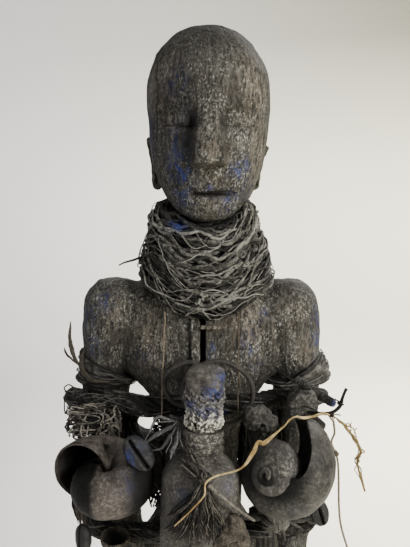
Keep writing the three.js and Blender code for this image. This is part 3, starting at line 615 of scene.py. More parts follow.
hangingTwine = {
    "route": [
        (85.5, -71, 358.5), (86.5, -70, 350), (84.8, -69, 343), (88.6, -68, 334), (90, -68, 324),
        (91, -68, 298), (93, -68, 284), (98, -68, 268), (101, -68, 258),
    ],
    "radius": 0.75,
    "knot": (87.9, -68, 335.5, 1.9),
}
hangingRaffia = {
    "route": [
        (87.5, -71.5, 360), (93, -72, 355), (99, -70, 347), (104, -70, 338), (101.5, -71, 332),
        (103, -71, 324), (107, -71, 311),
    ],
    "radius": 0.7,
    # how much of the line each frayed fibre follows, its reach from it and its radius
    "frays": [(1, 1.6, 0.45), (1, 2.2, 0.35), (0.62, 2.8, 0.35), (0.7, 2.0, 0.5)],
    "ties": [(85.6, -71, 358), (87.6, -71.5, 360), (90, -71, 362), (86, -71, 357)],
    "curls": [(96, -71, 356), (99, -71, 352), (102, -71, 333)],
}


def addCord(name, look, cadNode, material, tint=0.5):
    # A thin round cord along its route; its knots and side fibres are separate pieces.
    route = through(look["route"], 40)
    surface, tints = strands(route, look["radius"], tint, 8)
    cord = addPiece(name, surface, material, [cadNode], {"tint": tints})


def wound(centre, size, turns, rows, seed):
    # A loose knot: one thread running round a ball, its poles drifting.
    t = np.linspace(0, 1, rows)[:, None]
    dice = np.random.default_rng(seed)
    a = 2 * np.pi * turns * t + dice.uniform(0, 6)
    b = 2 * np.pi * turns * 0.37 * t + dice.uniform(0, 6)
    shape = np.concatenate([np.cos(a) * np.cos(b), np.sin(a), np.cos(a) * np.sin(b)], axis=1)
    return np.asarray(centre) + shape * np.asarray(size)


def looseThreads(starts, ends, seed, wander, rows=24, sag=0.0):
    # Threads from starts to ends, pushed aside by slow waves that fade out at both ends.
    starts, ends = np.asarray(starts, float), np.asarray(ends, float)
    dice = np.random.default_rng(seed)
    t = np.linspace(0, 1, rows)[None, :, None]
    path = starts[:, None] * (1 - t) + ends[:, None] * t
    for k in (1, 2, 3.5):
        aside = dice.normal(size=(len(starts), 1, 3)) / k
        wave = np.sin(np.pi * k * t + dice.uniform(0, 6, (len(starts), 1, 1)))
        path = path + wander * aside * wave * np.sin(np.pi * t) ** 0.7
    path[..., 2] -= sag * np.sin(np.pi * t[..., 0])
    return path


twineMaterial = strandMaterial("twine", twineLook)
raffiaMaterial = strandMaterial("raffia", raffiaLook, grain=260)


def addHangingCords():
    x, y, z, size = hangingTwine["knot"]
    thread = wound((x, y, z), (size, size * 0.8, size), 4, 60, 5)
    surface, tints = strands(thread, 0.55, 0.25, 6)
    knot = addPiece("twineKnot", surface, twineMaterial, (), {"tint": tints})
    addCord("hangingTwine", hangingTwine, "hanging_twine", twineMaterial, 0.85)
    # thin frayed fibres wind about the raffia's own line
    route = through(hangingRaffia["route"], 60)
    bundles = []
    for seed, (share, reach, radius) in enumerate(hangingRaffia["frays"]):
        rows = int(len(route) * share)
        t = np.linspace(0, 1, rows)
        way = np.stack([waves(np.stack([9 * t, t + k, 0 * t], 1), 3, 40 + seed + k, 2) for k in range(3)],
                       1)
        path = route[:rows] + reach * way * np.sin(np.pi * t)[:, None] ** 0.5
        bundles.append(strands(path, radius, 0.3 + 0.12 * seed, 6))
    ties = looseThreads([(82.5, -70.5, 363)] * 4, hangingRaffia["ties"], 46, 0.9)
    bundles.append(strands(ties, 0.45, [0.1, 0.4, 0.3, 0.2], 6))
    places = enumerate(hangingRaffia["curls"])
    curls = np.array([wound(place, (2.2, 1.2, 2.4), 1.2, 40, 47 + k) for k, place in places])
    bundles.append(strands(curls, 0.35, [0.3, 0.5, 0.2], 6))
    surface, tints = gathered(bundles)
    frays = addPiece("raffiaFrays", surface, raffiaMaterial, (), {"tint": tints})
    addCord("hangingRaffia", hangingRaffia, "hanging_raffia", raffiaMaterial, 0.35)


addHangingCords()

print("carved head")

head = {
    "x": 5.0, "widestZ": 572.0, "crown": 47.0, "jaw": 89.0, "halfWidth": 43.6,
    "front": 46.0, "back": 48.0, "chinY": -22.0, "squareness": 2.15,
    "eyes": (-17.3, 20.0), "eyeZ": 550.5,
    "noseRoot": 562.0, "noseTip": 523.2, "noseReach": 14.5,
    "mouthX": 2.3, "mouthZ": 503.5,
    # x, y, z and radius along the rim of each ear
    "ears": [
        [
            (-33.5, -6, 536, 1.2), (-36.6, -2, 541, 1.5), (-37.2, 5, 538.5, 1.7), (-36.0, 9, 531, 1.6),
            (-34.9, 10, 523, 1.5), (-34.0, 8, 515, 1.8), (-32.6, 3, 509, 2.4), (-30.0, -2, 508, 2.2),
            (-28.0, -5, 513, 1.4),
        ],
        [
            (42.0, -5, 531, 1.2), (46.2, -2, 535, 1.7), (46.0, 4, 532.5, 1.6), (43.0, 9, 526, 1.4),
            (41.0, 10, 519, 1.4), (39.6, 7, 512, 1.6), (39.8, 2, 508.5, 2.0), (37.6, -2, 507, 1.8),
            (35.6, -5, 511, 1.2),
        ],
    ],
}
# x, y, z, reach across, reach up, strength: blue pigment, rubbed wood, dust and dark places.
# The rubbed wood and dust lie mostly on the right of the face, partly as painted light for its
# brighter side; the dark places are painted shade in the eye sockets, beside the nose, on the
# crown, down the left side and under the chin
headMarks = {
    "pigment": [
        (-15, -40, 520, 8, 19, 0.85), (-12, -36, 500, 8, 11, 0.6), (-36, -15, 545, 5, 20, 0.6),
        (27, -40, 519, 7, 8, 0.85), (20, -38, 497, 10, 8, 0.45), (-8, -44, 553, 5, 7, 0.25),
        (-17, -40, 575, 9, 10, 0.3), (33, -30, 500, 6, 12, 0.3), (-25, 30, 540, 16, 26, 0.3),
        (38, 20, 560, 12, 20, 0.25), (4, -49, 507, 7, 2.5, 0.6),
    ],
    "rub": [
        (32, -32, 575, 13, 26, 0.7), (36, -22, 535, 8, 24, 0.6), (8, -60, 535, 6, 18, 0.5),
        (-30, -30, 575, 12, 20, 0.45), (5, -52, 512, 12, 8, 0.4), (20, -48, 525, 10, 10, 0.4),
        (5, -40, 492, 12, 9, 0.35), (10, 40, 575, 22, 24, 0.5),
    ],
    "dust": [
        (22, -45, 562, 17, 22, 0.7), (20, -45, 545, 18, 12, 0.8), (5, -55, 510, 18, 11, 0.7),
        (8, -58, 535, 7, 20, 0.15), (30, -36, 525, 12, 16, 0.55), (5, -45, 590, 22, 12, 0.25),
        (5, -44, 493, 20, 9, 0.9),
    ],
    "shadeAndDarkTone": [
        (-14, -44, 560, 13, 10, 0.5), (24, -44, 560, 12, 6, 0.35), (-7, -46, 535, 6, 15, 0.65),
        (17, -46, 533, 4, 9, 0.4), (5, -10, 616, 30, 10, 0.4), (-30, -20, 520, 12, 40, 0.3),
        (5, -36, 484, 20, 3, 0.6),
    ],
}


def headReach(z):
    # Half width, front and back of the head at each height: an ellipsoid above the widest level,
    # and below it an oval that narrows to the chin.
    rise = np.clip((z - head["widestZ"]) / head["crown"], 0, 1)
    fall = np.clip((head["widestZ"] - z) / head["jaw"], 0, 1)
    above = np.sqrt(1 - rise**2)
    half = head["halfWidth"] * above * (1 - fall**2.3) ** (1 / 2.3)
    chin = head["chinY"]
    front = np.where(rise > 0, -head["front"] * above,
                     chin - (head["front"] + chin) * (1 - fall**3) ** (1 / 2.2))
    back = np.where(rise > 0, head["back"] * above, chin + (head["back"] - chin) * np.sqrt(1 - fall**2.4))
    return half, front, back


def patches(points, marks):
    # The strongest of soft spots, each with its place, reach across and up, and strength.
    x, y, z = points.T
    total = np.zeros(len(points))
    for px, py, pz, across, up, strength in marks:
        gap = ((x - px) / across) ** 2 + ((y - py) / max(across, 14)) ** 2 + ((z - pz) / up) ** 2
        total = np.maximum(total, strength * np.exp(-gap))
    return total


def faceRelief(u, z):
    # Height of the carved face over the plain oval, from the distance beside its middle and the height.
    total = 0.9 * bump(z, 562, 5) * bump(np.abs(u), 18, 13)
    level = z - head["eyeZ"]
    for eye in head["eyes"]:
        side = math.copysign(1, eye)
        spread = ((u - eye) / 12.5) ** 2
        total -= 4.6 * spot(u - eye, level, 12.5, 6.4, 1.4)
        total += 3.7 * spot(u - eye - side, level - 0.3, 8.5, 3.7, 1.5)
        total -= 1.6 * bump(level, -3.4 + 1.2 * spread, 1.0) * np.exp(-spread**2)
        total -= 2.6 * spot(u - side * 9.8, level, 3.2, 5.5)
    share = np.clip((head["noseRoot"] - z) / (head["noseRoot"] - head["noseTip"]), 0, 1.2)
    half = 8.4 + 3.6 * share
    nose = (0.6 + head["noseReach"] * np.clip(share, 0, 1) ** 0.85) * smooth(0, 0.05, share + 0.02)
    nose *= 1 - smooth(half - 2.4, half + 1.6, np.abs(u - 0.3))
    nose *= smooth(head["noseTip"] - 3.4, head["noseTip"] + 0.6, z)
    nose += 0.9 * bump(np.abs(u - 0.3), 9.8, 2.4) * bump(z, 527, 4)
    total += nose
    total += 1.3 * bump(u, 1, 13, 4) * bump(z, 508, 3.2) + 2.1 * bump(u, 1, 11, 3) * bump(z, 497.5, 3.8)
    wavy = head["mouthZ"] - 0.9 * bump(u, -3, 8) + 0.9 * bump(u, 9, 5) - 0.02 * u
    total -= 4.0 * bump(z, wavy, 1.1 + 0.6 * bump(u, -3, 7)) * bump(u, head["mouthX"], 14.4, 6)
    total -= 0.7 * bump(u, 0, 2.6) * bump(z, 514.5, 5) + 0.5 * bump(np.abs(u), 27, 9) * bump(z, 524, 16)
    total += 1.0 * bump(u, 0, 13) * bump(z, 488, 6)
    return total


def addHead():
    # The oval of headReach on a grid of directions and heights, denser in front, with the face's
    # relief moved forward, and knife marks and dents along the normals.
    columns = 300
    s = np.linspace(-1, 1, columns, endpoint=False)
    turn = -np.pi / 2 + np.pi * (0.62 * s + 0.38 * s**3)
    above = np.linspace(0.03, np.pi / 2, 62, endpoint=False)
    below = np.linspace(0, 1.535, 172)
    z = np.concatenate([head["widestZ"] + head["crown"] * np.cos(above),
                        head["widestZ"] - head["jaw"] * np.sin(below) ** (2 / 2.3)])
    half, front, back = headReach(z)
    power = 2 / head["squareness"]
    x = head["x"] + half[:, None] * signedPower(np.cos(turn), power)
    y = (front + back)[:, None] / 2 + (back - front)[:, None] / 2 * signedPower(np.sin(turn), power)
    rings = np.stack([x, y, z[:, None] + 0 * x], axis=-1)
    surface = tubes(rings)
    points = surface[0].copy()
    normal = normalsOf(surface)
    u, z = points[:, 0] - head["x"], points[:, 2]
    facing = smooth(0.15, 0.75, -normal[:, 1] + 0.15 * (points[:, 2] < 500))
    relief = faceRelief(u, z) * facing
    points[:, 1] -= relief
    surface = points, surface[1], surface[2]
    # drying cracks: the long one on the left temple, with the wood left of it a little lower
    line = head["x"] - 34.3 + 0.5 * np.sin(z * 0.19) + 0.3 * np.sin(z * 0.57)
    seen = (points[:, 1] < 12) & (points[:, 1] > -45)
    crack = bump(points[:, 0], line, 0.55) * span(z, 540, 552, 590, 601) * seen
    short = bump(u, 35.5 + 0.4 * np.sin(z * 0.3), 0.4) * span(z, 566, 572, 582, 590) * seen
    rear = bump(u, 12 + 0.5 * np.sin(z * 0.21), 0.5) * span(z, 545, 560, 600, 608)
    cracks = np.maximum(np.maximum(crack, 0.7 * short), rear * (points[:, 1] > 10))
    step = 0.7 * smooth(0, 0.5, line - points[:, 0]) * span(z, 520, 545, 594, 598) * seen
    push = (0.42 * waves(points, 26, 1, 2) + 0.20 * waves(points, 7, 2, 2, (1, 1, 2.5))
            + 0.10 * waves(points, 2.2, 3, 1, (1, 1, 6)))
    surface = moved(surface, push - 1.3 * cracks - step)
    points = surface[0]
    slit = bump(points[:, 2], head["mouthZ"] - 0.6, 1.45) * (points[:, 1] < -30)
    slit = slit * bump(points[:, 0] - head["x"], head["mouthX"], 13.4, 6)
    corners = 0.0
    for eye in head["eyes"]:
        side = math.copysign(1, eye)
        corners = corners + spot(u - side * 9.8, z - 550, 3.2, 5.5)
        corners = corners + 0.6 * bump(z, head["eyeZ"] - 3.6, 0.9) * bump(u, eye - side * 2, 7)
    # painted shade: dark in the cracks, the mouth slit and the eye corners, and over the crown
    shadeAndDarkTone = (cracks * 1.2 + slit + 0.42 * smooth(570, 612, points[:, 2])
            + 0.8 * corners * (points[:, 1] < -35))
    layers = {
        "pigment": patches(points, headMarks["pigment"]),
        "rub": patches(points, headMarks["rub"]) + 0.08,
        "dust": patches(points, headMarks["dust"]) - 0.1,
        "shadeAndDarkTone": np.clip(shadeAndDarkTone + patches(points, headMarks["shadeAndDarkTone"]), 0, 1),
    }
    addPiece("carvedHead", surface, carvedWood, (), layers)
    # each ear is an open rim round a shallow hollow shell of the same wood
    ears = []
    for rows in head["ears"]:
        line = through(rows, 70)
        ears.append(tubes(ringsAlong(line[:, :3], line[:, 3], 14, up=(1, 0, 0))))
        middle = np.mean(np.array(rows)[:, :3], axis=0)
        ears.append(ball(middle[0] - 0.8 * np.sign(middle[0]), middle[1], middle[2], 2.4, 8, 14))
        ears.append(ball(middle[0] - 4.0 * np.sign(middle[0]), middle[1] + 1, middle[2] - 9, 3.0, 7, 6.5))
    ears = joined(ears)
    ears = moved(ears, 0.2 * waves(ears[0], 6, 4, 2))
    addPiece("carvedEars", ears, carvedWood, (),
             {"pigment": 0.0, "rub": 0.15, "dust": 0.1, "shadeAndDarkTone": 0.3})


carvedWood = woodMaterial("carvedWood", woodLook)
addHead()

print("carved body and base")

body = {
    # x, z, half width, front, back, squareness
    "torso": [
        (0, 186, 20, -12, 14, 2.2), (0, 198, 38, -21, 26, 2.2), (0, 222, 47, -26, 33, 2.2),
        (0, 247, 45, -26, 26, 2.2), (-1, 267, 33, -24, 22, 2.2), (-1, 290, 27, -24, 18, 2.2),
        (0, 325, 29, -25, 20, 2.4), (1, 350, 35, -28, 24, 2.6), (1, 366, 46, -31, 27, 2.6),
        (0, 384, 60, -33, 29, 2.6), (0, 410, 66, -33, 30, 2.5), (0, 430, 62, -28, 27, 2.4),
        (1, 441, 44, -20, 22, 2.2),
    ],
    # x, y, z, half across and half along Y, from the hip to the ankle
    "leg": [
        (17, 2, 244, 8, 8), (23, 2, 226, 20, 22), (27, 0, 196, 22, 24), (29, -5, 160, 19.5, 20),
        (30, -9, 130, 17, 17.5), (30, 2, 98, 17.5, 19), (29, 5, 62, 13, 13.5), (29, 3, 40, 13.5, 15),
        (29, 2, 20, 15, 18),
    ],
    # y, z, half across and half along Z, from the heel to the toes
    "foot": [(16, 33, 11, 8), (2, 36, 14, 14), (-22, 34, 14.5, 10), (-40, 32, 13.5, 7), (-49, 31, 10, 4)],
    "footX": 30,
    "neck": {"x": 4.0, "low": 428.0, "high": 496.0, "radius": 24.0},
    "elbowX": 69.5,
    "wristX": (59, 69),
    "handX": (55, 66),
    "voxel": 1.75,
    "base": {"halfWidth": 66, "halfDepth": 56, "y": -8, "height": 30, "chamfer": 3, "squareness": 3.2},
}
bodyMarks = {
    "pigment": [
        (-80, -10, 418, 8, 10, 0.6), (-68, -24, 428, 7, 7, 0.4), (-76, -18, 396, 5, 9, 0.35),
        (34, -34, 400, 6, 9, 0.6), (40, -34, 384, 6, 6, 0.35), (82, -12, 405, 5, 17, 0.6),
        (44, -32, 420, 4, 4, 0.7), (-40, -32, 392, 7, 7, 0.2), (20, 30, 400, 18, 16, 0.3),
        (-50, 26, 420, 16, 10, 0.25), (-20, 30, 232, 14, 14, 0.3), (34, -22, 160, 9, 14, 0.3),
    ],
    "rub": [
        (-34, -33, 402, 16, 20, 0.5), (36, -33, 412, 15, 24, 0.7), (64, -26, 420, 14, 14, 0.35),
        (-62, -26, 420, 14, 14, 0.3), (76, -22, 388, 10, 20, 0.5), (0, 30, 400, 40, 30, 0.4),
        (30, -24, 120, 12, 30, 0.4), (-30, -24, 120, 12, 30, 0.4),
    ],
    "dust": [
        (70, -22, 395, 18, 34, 0.45), (-74, -20, 392, 12, 30, 0.35), (-30, -33, 405, 20, 20, 0.25),
        (40, -33, 402, 20, 26, 0.75), (30, -20, 140, 20, 50, 0.35), (-30, -20, 140, 20, 50, 0.35),
        (0, 30, 400, 50, 30, 0.3),
    ],
    # painted shade: inside the left ring, under the ropes and the neck binding, behind the bottle, between
    # arms and torso, under the elbow bands and down the lower arms
    "shadeAndDarkTone": [
        (-8, -34, 376, 13, 17, 0.75), (0, -34, 352, 50, 12, 0.75), (0, -28, 300, 40, 45, 0.75),
        (-45, -20, 395, 7, 26, 0.7), (46, -20, 395, 6, 26, 0.55), (2, -30, 432, 34, 7, 0.5),
        (0, 0, 262, 95, 16, 0.35), (-68, -20, 375, 26, 9, 0.6), (68, -20, 377, 26, 8, 0.5),
        (60, -15, 335, 13, 28, 0.85), (-68, -10, 330, 26, 30, 0.6), (66, -10, 330, 26, 30, 0.5),
    ],
}


def levelLoft(rows, sides, count):
    x, z, half, front, back, square = through(rows, count).T
    return tubes(levelRings(x, z, half, front, back, sides, square))


def armRows(side, elbow, wrist, hand):
    return [
        (side * (hand - 4), 208, 5, -14, 2, 2.2), (side * hand, 222, 10, -23, 8, 2.2),
        (side * hand, 240, 12, -24, 9, 2.2), (side * wrist, 266, 14, -19, 11, 2.2),
        (side * (wrist + elbow) / 2, 304, 14.5, -17, 15, 2.2), (side * elbow, 345, 16, -17, 17, 2.2),
        (side * elbow, 366, 17.5, -18, 18, 2.2), (side * 66, 392, 20.5, -23, 23, 2.3),
        (side * 61, 414, 25, -26, 27, 2.2), (side * 61, 431, 22, -22, 24, 2.1),
        (side * 62, 441, 11, -10, 12, 2),
    ]


def limb(rows, up, sides=40, count=60):
    # rows of x, y, z, half across `up` and half along it; the ring follows the line of the rows.
    x, y, z, a, b = through(rows, count).T
    ringShape = ringsAlong(np.stack([x, y, z], 1), 1.0, sides, up=up)[0]
    middle = np.stack([x, y, z], 1)[:, None]
    out = ringShape - middle
    way = unit(np.gradient(middle[:, 0], axis=0))
    high = unit(np.asarray(up, float) - (way @ np.asarray(up, float))[:, None] * way)
    side = np.cross(high, way)
    across = (out * side[:, None]).sum(-1, keepdims=True) * side[:, None] * a[:, None, None]
    along = (out * high[:, None]).sum(-1, keepdims=True) * high[:, None] * b[:, None, None]
    return tubes(middle + across + along)


def addBody():
    base = body["base"]
    chamfer, y, width, depth = base["chamfer"], base["y"], base["halfWidth"], base["halfDepth"]
    z = np.array([0.0, 0.6, chamfer, base["height"] - chamfer, base["height"] - 0.8, base["height"]])
    inset = np.array([chamfer, 1.4, 0, 0, 1.2, chamfer])
    front, back = y - depth + inset, y + depth - inset
    parts = [tubes(levelRings(0.0, z, width - inset, front, back, 96, base["squareness"]))]
    parts.append(levelLoft(body["torso"], 72, 90))
    neck = body["neck"]
    ends, radius = np.array([neck["low"], neck["high"]]), neck["radius"]
    parts.append(tubes(levelRings(neck["x"], ends, radius, -radius, radius, 40)))
    for side, wrist, hand in zip((-1, 1), body["wristX"], body["handX"]):
        parts.append(levelLoft(armRows(side, body["elbowX"], wrist, hand), 56, 90))
        parts.append(limb([(side * row[0], *row[1:]) for row in body["leg"]], (0, 1, 0)))
        parts.append(limb([(side * body["footX"], *row) for row in body["foot"]], (0, 0, 1)))
    surface = fused(parts, body["voxel"], 3)
    points = surface[0]
    x, y, z = points.T
    front = (y < -10) & (z > 370) & (z < 436)
    # the slot between the breast strips and the crack beside them are pushed back into the chest
    slotHalf = 0.7 + 1.2 * smooth(420, 412, z)
    slot = (1 - smooth(slotHalf, slotHalf + 1.2, np.abs(x - 1.6))) * front * smooth(384, 388, z)
    crack = bump(x, 26 + 0.7 * np.sin(z * 0.2), 1.0) * front * smooth(394, 398, z)
    hook = bump(z, 396.5 + 0.15 * (x - 28), 1.0) * span(x, 26, 27, 32, 34) * front
    backCrack = bump(x, -6 + 1.0 * np.sin(z * 0.12), 0.9) * (y > 12) * span(z, 330, 345, 395, 410)
    push = (0.55 * waves(points, 34, 11, 2) + 0.3 * waves(points, 8, 12, 2, (1, 1, 2))
            + 0.12 * waves(points, 3, 13, 1, (1, 1, 5)))
    # toes and fingers are shallow grooves
    toes = 0.0
    for side in (-1, 1):
        for k in (-1.5, -0.5, 0.5, 1.5):
            toes = toes + bump(x, side * 30 + k * 5.6, 0.9) * (y < -30) * (z > 30) * (z < 46)
            outside = bump(x, 77 if side > 0 else -66, 7) * span(z, 206, 212, 232, 238)
            toes = toes + bump(y, -8 + k * 6.5, 0.8) * outside
    surface = moved(surface, push - 0.9 * crack - 0.8 * hook - 1.0 * backCrack - 1.0 * toes)
    surface[0][:, 1] += 6.5 * slot
    points = surface[0]
    # the underside stays flat on the floor
    points[:, 2] = np.clip(points[:, 2], 0, None)
    # painted shade in the slot, the cracks, the toe and finger grooves and under the neck binding
    shadeAndDarkTone = slot + crack + hook + backCrack + 0.5 * toes + 0.9 * smooth(431, 436, z) * (np.abs(x) < 40)
    layers = {
        "pigment": patches(points, bodyMarks["pigment"]),
        "rub": patches(points, bodyMarks["rub"]) + 0.06,
        "dust": patches(points, bodyMarks["dust"]) - 0.05,
        "shadeAndDarkTone": np.clip(shadeAndDarkTone + patches(points, bodyMarks["shadeAndDarkTone"]), 0, 1),
    }
    addPiece("carvedBody", surface, carvedWood, ["carved_figure"], layers)


addBody()

print("breast strips and cross bar")


def bar(centre, halves, turn=0.0, rows=40, sides=32, rough=0.25, seed=0):
    # A rounded bar along Z: square-ish rings that close in over the last millimetre of both ends.
    z = np.linspace(-1, 1, rows)
    past = np.clip((np.abs(z) * halves[2] - halves[2] + 1.2) / 1.2, 0, 0.97)
    close = np.sqrt(1 - past**2)
    a = 2 * np.pi * (np.arange(sides) + 0.5) / sides
    ring = np.stack([signedPower(np.cos(a), 0.5), signedPower(np.sin(a), 0.5)], -1)
    x = halves[0] * close[:, None] * ring[None, :, 0]
    y = halves[1] * close[:, None] * ring[None, :, 1]
    heights = halves[2] * z[:, None] + 0 * x
    x, heights = spun(x, heights, turn)
    surface = tubes(np.stack([x, y, heights], -1) + np.asarray(centre))
    return moved(surface, rough * waves(surface[0], 5, seed, 2, (1, 1, 3)))


def addStrips():
    strips = [("leftStrip", -3.5, 3.0, "left_chest_slat", 4),
              ("rightStrip", 7.0, 3.6, "right_chest_slat", 6)]
    for name, x, half, cadNode, seed in strips:
        surface = bar((x, -35.2, 403), (half, 1.5, 16.9), seed=seed)
        points = surface[0]
        blue = patches(points, [(9, -36, 396, 4, 6, 0.8 if x > 0 else 0)])
        # painted shade, stronger towards the strips' lower ends
        shadeAndDarkTone = 0.15 + 0.4 * smooth(392, 386, points[:, 2])
        layers = {"pigment": blue, "rub": 0.25, "dust": 0.35, "shadeAndDarkTone": shadeAndDarkTone}
        addPiece(name, surface, carvedWood, [cadNode], layers)
    surface = bar((7, -40.5, 413.5), (1.4, 1.4, 7.4), math.pi / 2, rough=0.2, seed=8)
    addPiece("crossBar", surface, carvedWood, ["cross_bar"],
             {"rub": 0.7, "dust": 0.3, "shadeAndDarkTone": 0.0, "pigment": 0.0})


addStrips()

print("neck binding")

binding = {
    "x": 3.3, "low": 439.0, "high": 499.0, "lowSag": 21.0, "highSag": 19.0,
    # share of the height, then reach to left, right, front and back
    "rows": [
        (0, 38, 42, 37, 34), (0.04, 46.5, 48.5, 45, 41), (0.18, 48, 47.5, 46, 43), (0.34, 46, 46, 45, 42),
        (0.5, 42.5, 43, 43, 41), (0.66, 40.5, 37.5, 41, 39), (0.8, 39.5, 37, 39, 37),
        (0.94, 35, 33.5, 36, 33), (1, 28, 28, 30, 27),
    ],
    "winds": 38, "crossings": 72, "threads": 130,
}


def onBinding(a, share, lift):
    # A point on the winding: its direction round the neck, its share of the height and its lift.
    rows = np.asarray(binding["rows"], float)
    left, right, front, back = (np.interp(share, rows[:, 0], rows[:, k]) for k in (1, 2, 3, 4))
    c, s = np.cos(a), np.sin(a)
    facing = np.maximum(0, -s) ** 2
    low = binding["low"] - binding["lowSag"] * facing
    high = binding["high"] - binding["highSag"] * facing
    x = binding["x"] + c * (np.where(c > 0, right, left) + lift)
    y = s * (np.where(s > 0, back, front) + lift)
    return np.stack([x, y, low + (high - low) * share], axis=-1)


def addBinding():
    # A dark core, which is painted shade in the gaps between the strands, thick winds lying nearly
    # level, thinner strands crossing them at a slant, and fine threads over all. Every strand is a
    # line on the winding's own two parameters.
    dice = np.random.default_rng(21)
    share = np.linspace(0, 1, 40)[:, None]
    turn = circle(120)[None]
    core = tubes(onBinding(turn, share + 0 * turn, -4.4 + 0 * share))
    core = moved(core, 0.9 * waves(core[0], 9, 22, 3))
    bundles = [tinted(core, -0.4)]
    families = [
        # count, rows, turns, slant, wobble, lift, radius, flat
        (binding["winds"], 118, (1.1, 1.6), 0.12, 0.05, (-3.2, -0.5), (0.9, 1.9), 0.6),
        (binding["crossings"], 62, (0.22, 0.6), 0.42, 0.05, (-1.6, 1.0), (0.6, 1.4), 0.6),
        (binding["threads"], 34, (0.06, 0.35), 0.6, 0.06, (-0.2, 1.5), (0.25, 0.6), 1.0),
    ]
    for number, (count, rows, turns, slant, wobble, lift, radius, flat) in enumerate(families):
        t = np.linspace(-0.5, 0.5, rows)[None]
        place = (np.arange(count) + dice.uniform(0.2, 0.8, count)) / count
        dice.shuffle(place)

        def column(low, high):
            return dice.uniform(low, high, (count, 1))

        a = column(0, 2 * np.pi) + 2 * np.pi * column(*turns) * t
        rise = column(-slant, slant)
        share = 0.025 + 0.95 * place[:, None] + rise * t
        share = (share + wobble * np.sin(column(2, 5) * a + column(0, 6))
                 + 0.4 * wobble * np.sin(column(7, 12) * a + column(0, 6)))
        share = np.clip(share, 0.012, 0.985)
        depth = column(*lift)
        high = depth + 0.8 * np.sin(column(3, 6) * a + column(0, 6)) - 2.2 * np.abs(2 * t) ** 8
        path = onBinding(a, share, high)
        path = path + 0.45 * drift(path, 8, 60 + number)
        width = column(*radius) * (1 + 0.15 * np.sin(column(9, 17) * a + column(0, 6)))
        out = (path - [binding["x"], 0, 0]) * [1, 1, 0]
        # deeper strands are darker, as painted shade
        tint = np.clip(-0.42 + 0.34 * (depth[:, 0] + 2.4) + dice.normal(0, 0.24, count), -0.45, 0.95)
        bundles.append(flatStrands(path, width, flat, unit(out), tint, 7 if number < 2 else 5))
    # loose loops that leave the winding: over the right rim, and small knots low in front
    loops = []
    for k in range(8):
        top = np.array([32.5, -23, 497.5]) + dice.normal(0, 0.7, 3)
        angle, share = -1.0 + 0.10 * k + dice.normal(0, 0.03), 0.84 + dice.uniform(-0.07, 0.05)
        low = onBinding(np.array(angle), np.array(share), np.array(0.9))
        middle = (top + low) / 2
        middle += [1.2 + 0.2 * k + dice.normal(0, 0.6), -2.6 + 0.3 * k, 1.0 + dice.normal(0, 0.6)]
        loops.append(through([top, middle, low, low + [-1, 0.6, -4]], 30))
    bundles.append(strands(np.array(loops), 0.62, dice.uniform(0.2, 0.8, 8), 6))
    places = [(2, -49, 436), (6.5, -49, 434), (-1, -49, 432)]
    knots = np.array([wound(place, (2.6, 1.2, 2.6), 2, 40, 30 + k) for k, place in enumerate(places)])
    bundles.append(strands(knots, 0.5, [0.9, 0.7, 0.8], 6))
    surface, tints = gathered(bundles)
    points = surface[0]
    pigment = patches(points, [(-16, -38, 481.5, 5.5, 3.6, 1.0)])
    addPiece("neckBinding", surface, fibreMaterial, ["neck_binding"],
             {"tint": tints, "pigment": pigment})


def flatStrands(path, width, flat, out, tint, sides):
    # Tubes whose ring is narrow along the given outward ways, and wide across them.
    way = unit(np.gradient(path, axis=1))
    high = unit(out - (out * way).sum(-1, keepdims=True) * way)
    side = np.cross(high, way)
    a = circle(sides)
    fade = np.ones(path.shape[1])
    fade[[0, -1]] = 0.35
    width = width * fade
    rings = path[:, :, None] + width[..., None, None] * (
        np.cos(a)[:, None] * side[:, :, None] + flat * np.sin(a)[:, None] * high[:, :, None])
    surface = tubes(rings)
    tints = np.concatenate([np.repeat(tint, path.shape[1] * sides), np.repeat(tint, 2)])
    return surface, tints


fibreMaterial = strandMaterial("fibre", fibreLook, pigment=True, grain=420)
addBinding()

print("ropes and arm bands")

ropes = {
    "radius": 6.6,
    "upper": [
        (0, -39, 358, 7), (34, -38, 360, 7), (54, -31, 361, 6.6), (72, -27, 361, 6.6), (85, -18, 359, 5.0),
        (88.5, 0, 354, 4.5), (86, 19, 346, 5.5), (70, 27, 340, 6.6), (40, 33, 337, 6.6), (0, 35, 336, 6.6),
        (-40, 33, 337, 6.6), (-70, 27, 340, 6.6), (-88, 19, 346, 6.6), (-94.5, 0, 353, 6.6),
        (-88, -18, 357, 6.6), (-72, -27, 358, 7.4), (-54, -32, 358, 7.4), (-34, -38, 358, 7),
    ],
    "lower": [
        (0, -36, 266, 6.6), (38, -38, 268, 6.6), (58, -32, 268, 7.4), (75, -27, 268, 5.6),
        (84, -8, 272, 4.5), (81, 12, 279, 5.5), (60, 25, 284, 6.6), (0, 30, 286, 6.6), (-54, 25, 282, 6.6),
        (-76, 12, 276, 6.6), (-83, -6, 268, 6.6), (-73, -26, 263, 6.6), (-54, -32, 264, 6.6),
        (-32, -38, 266, 6.6),
    ],
}


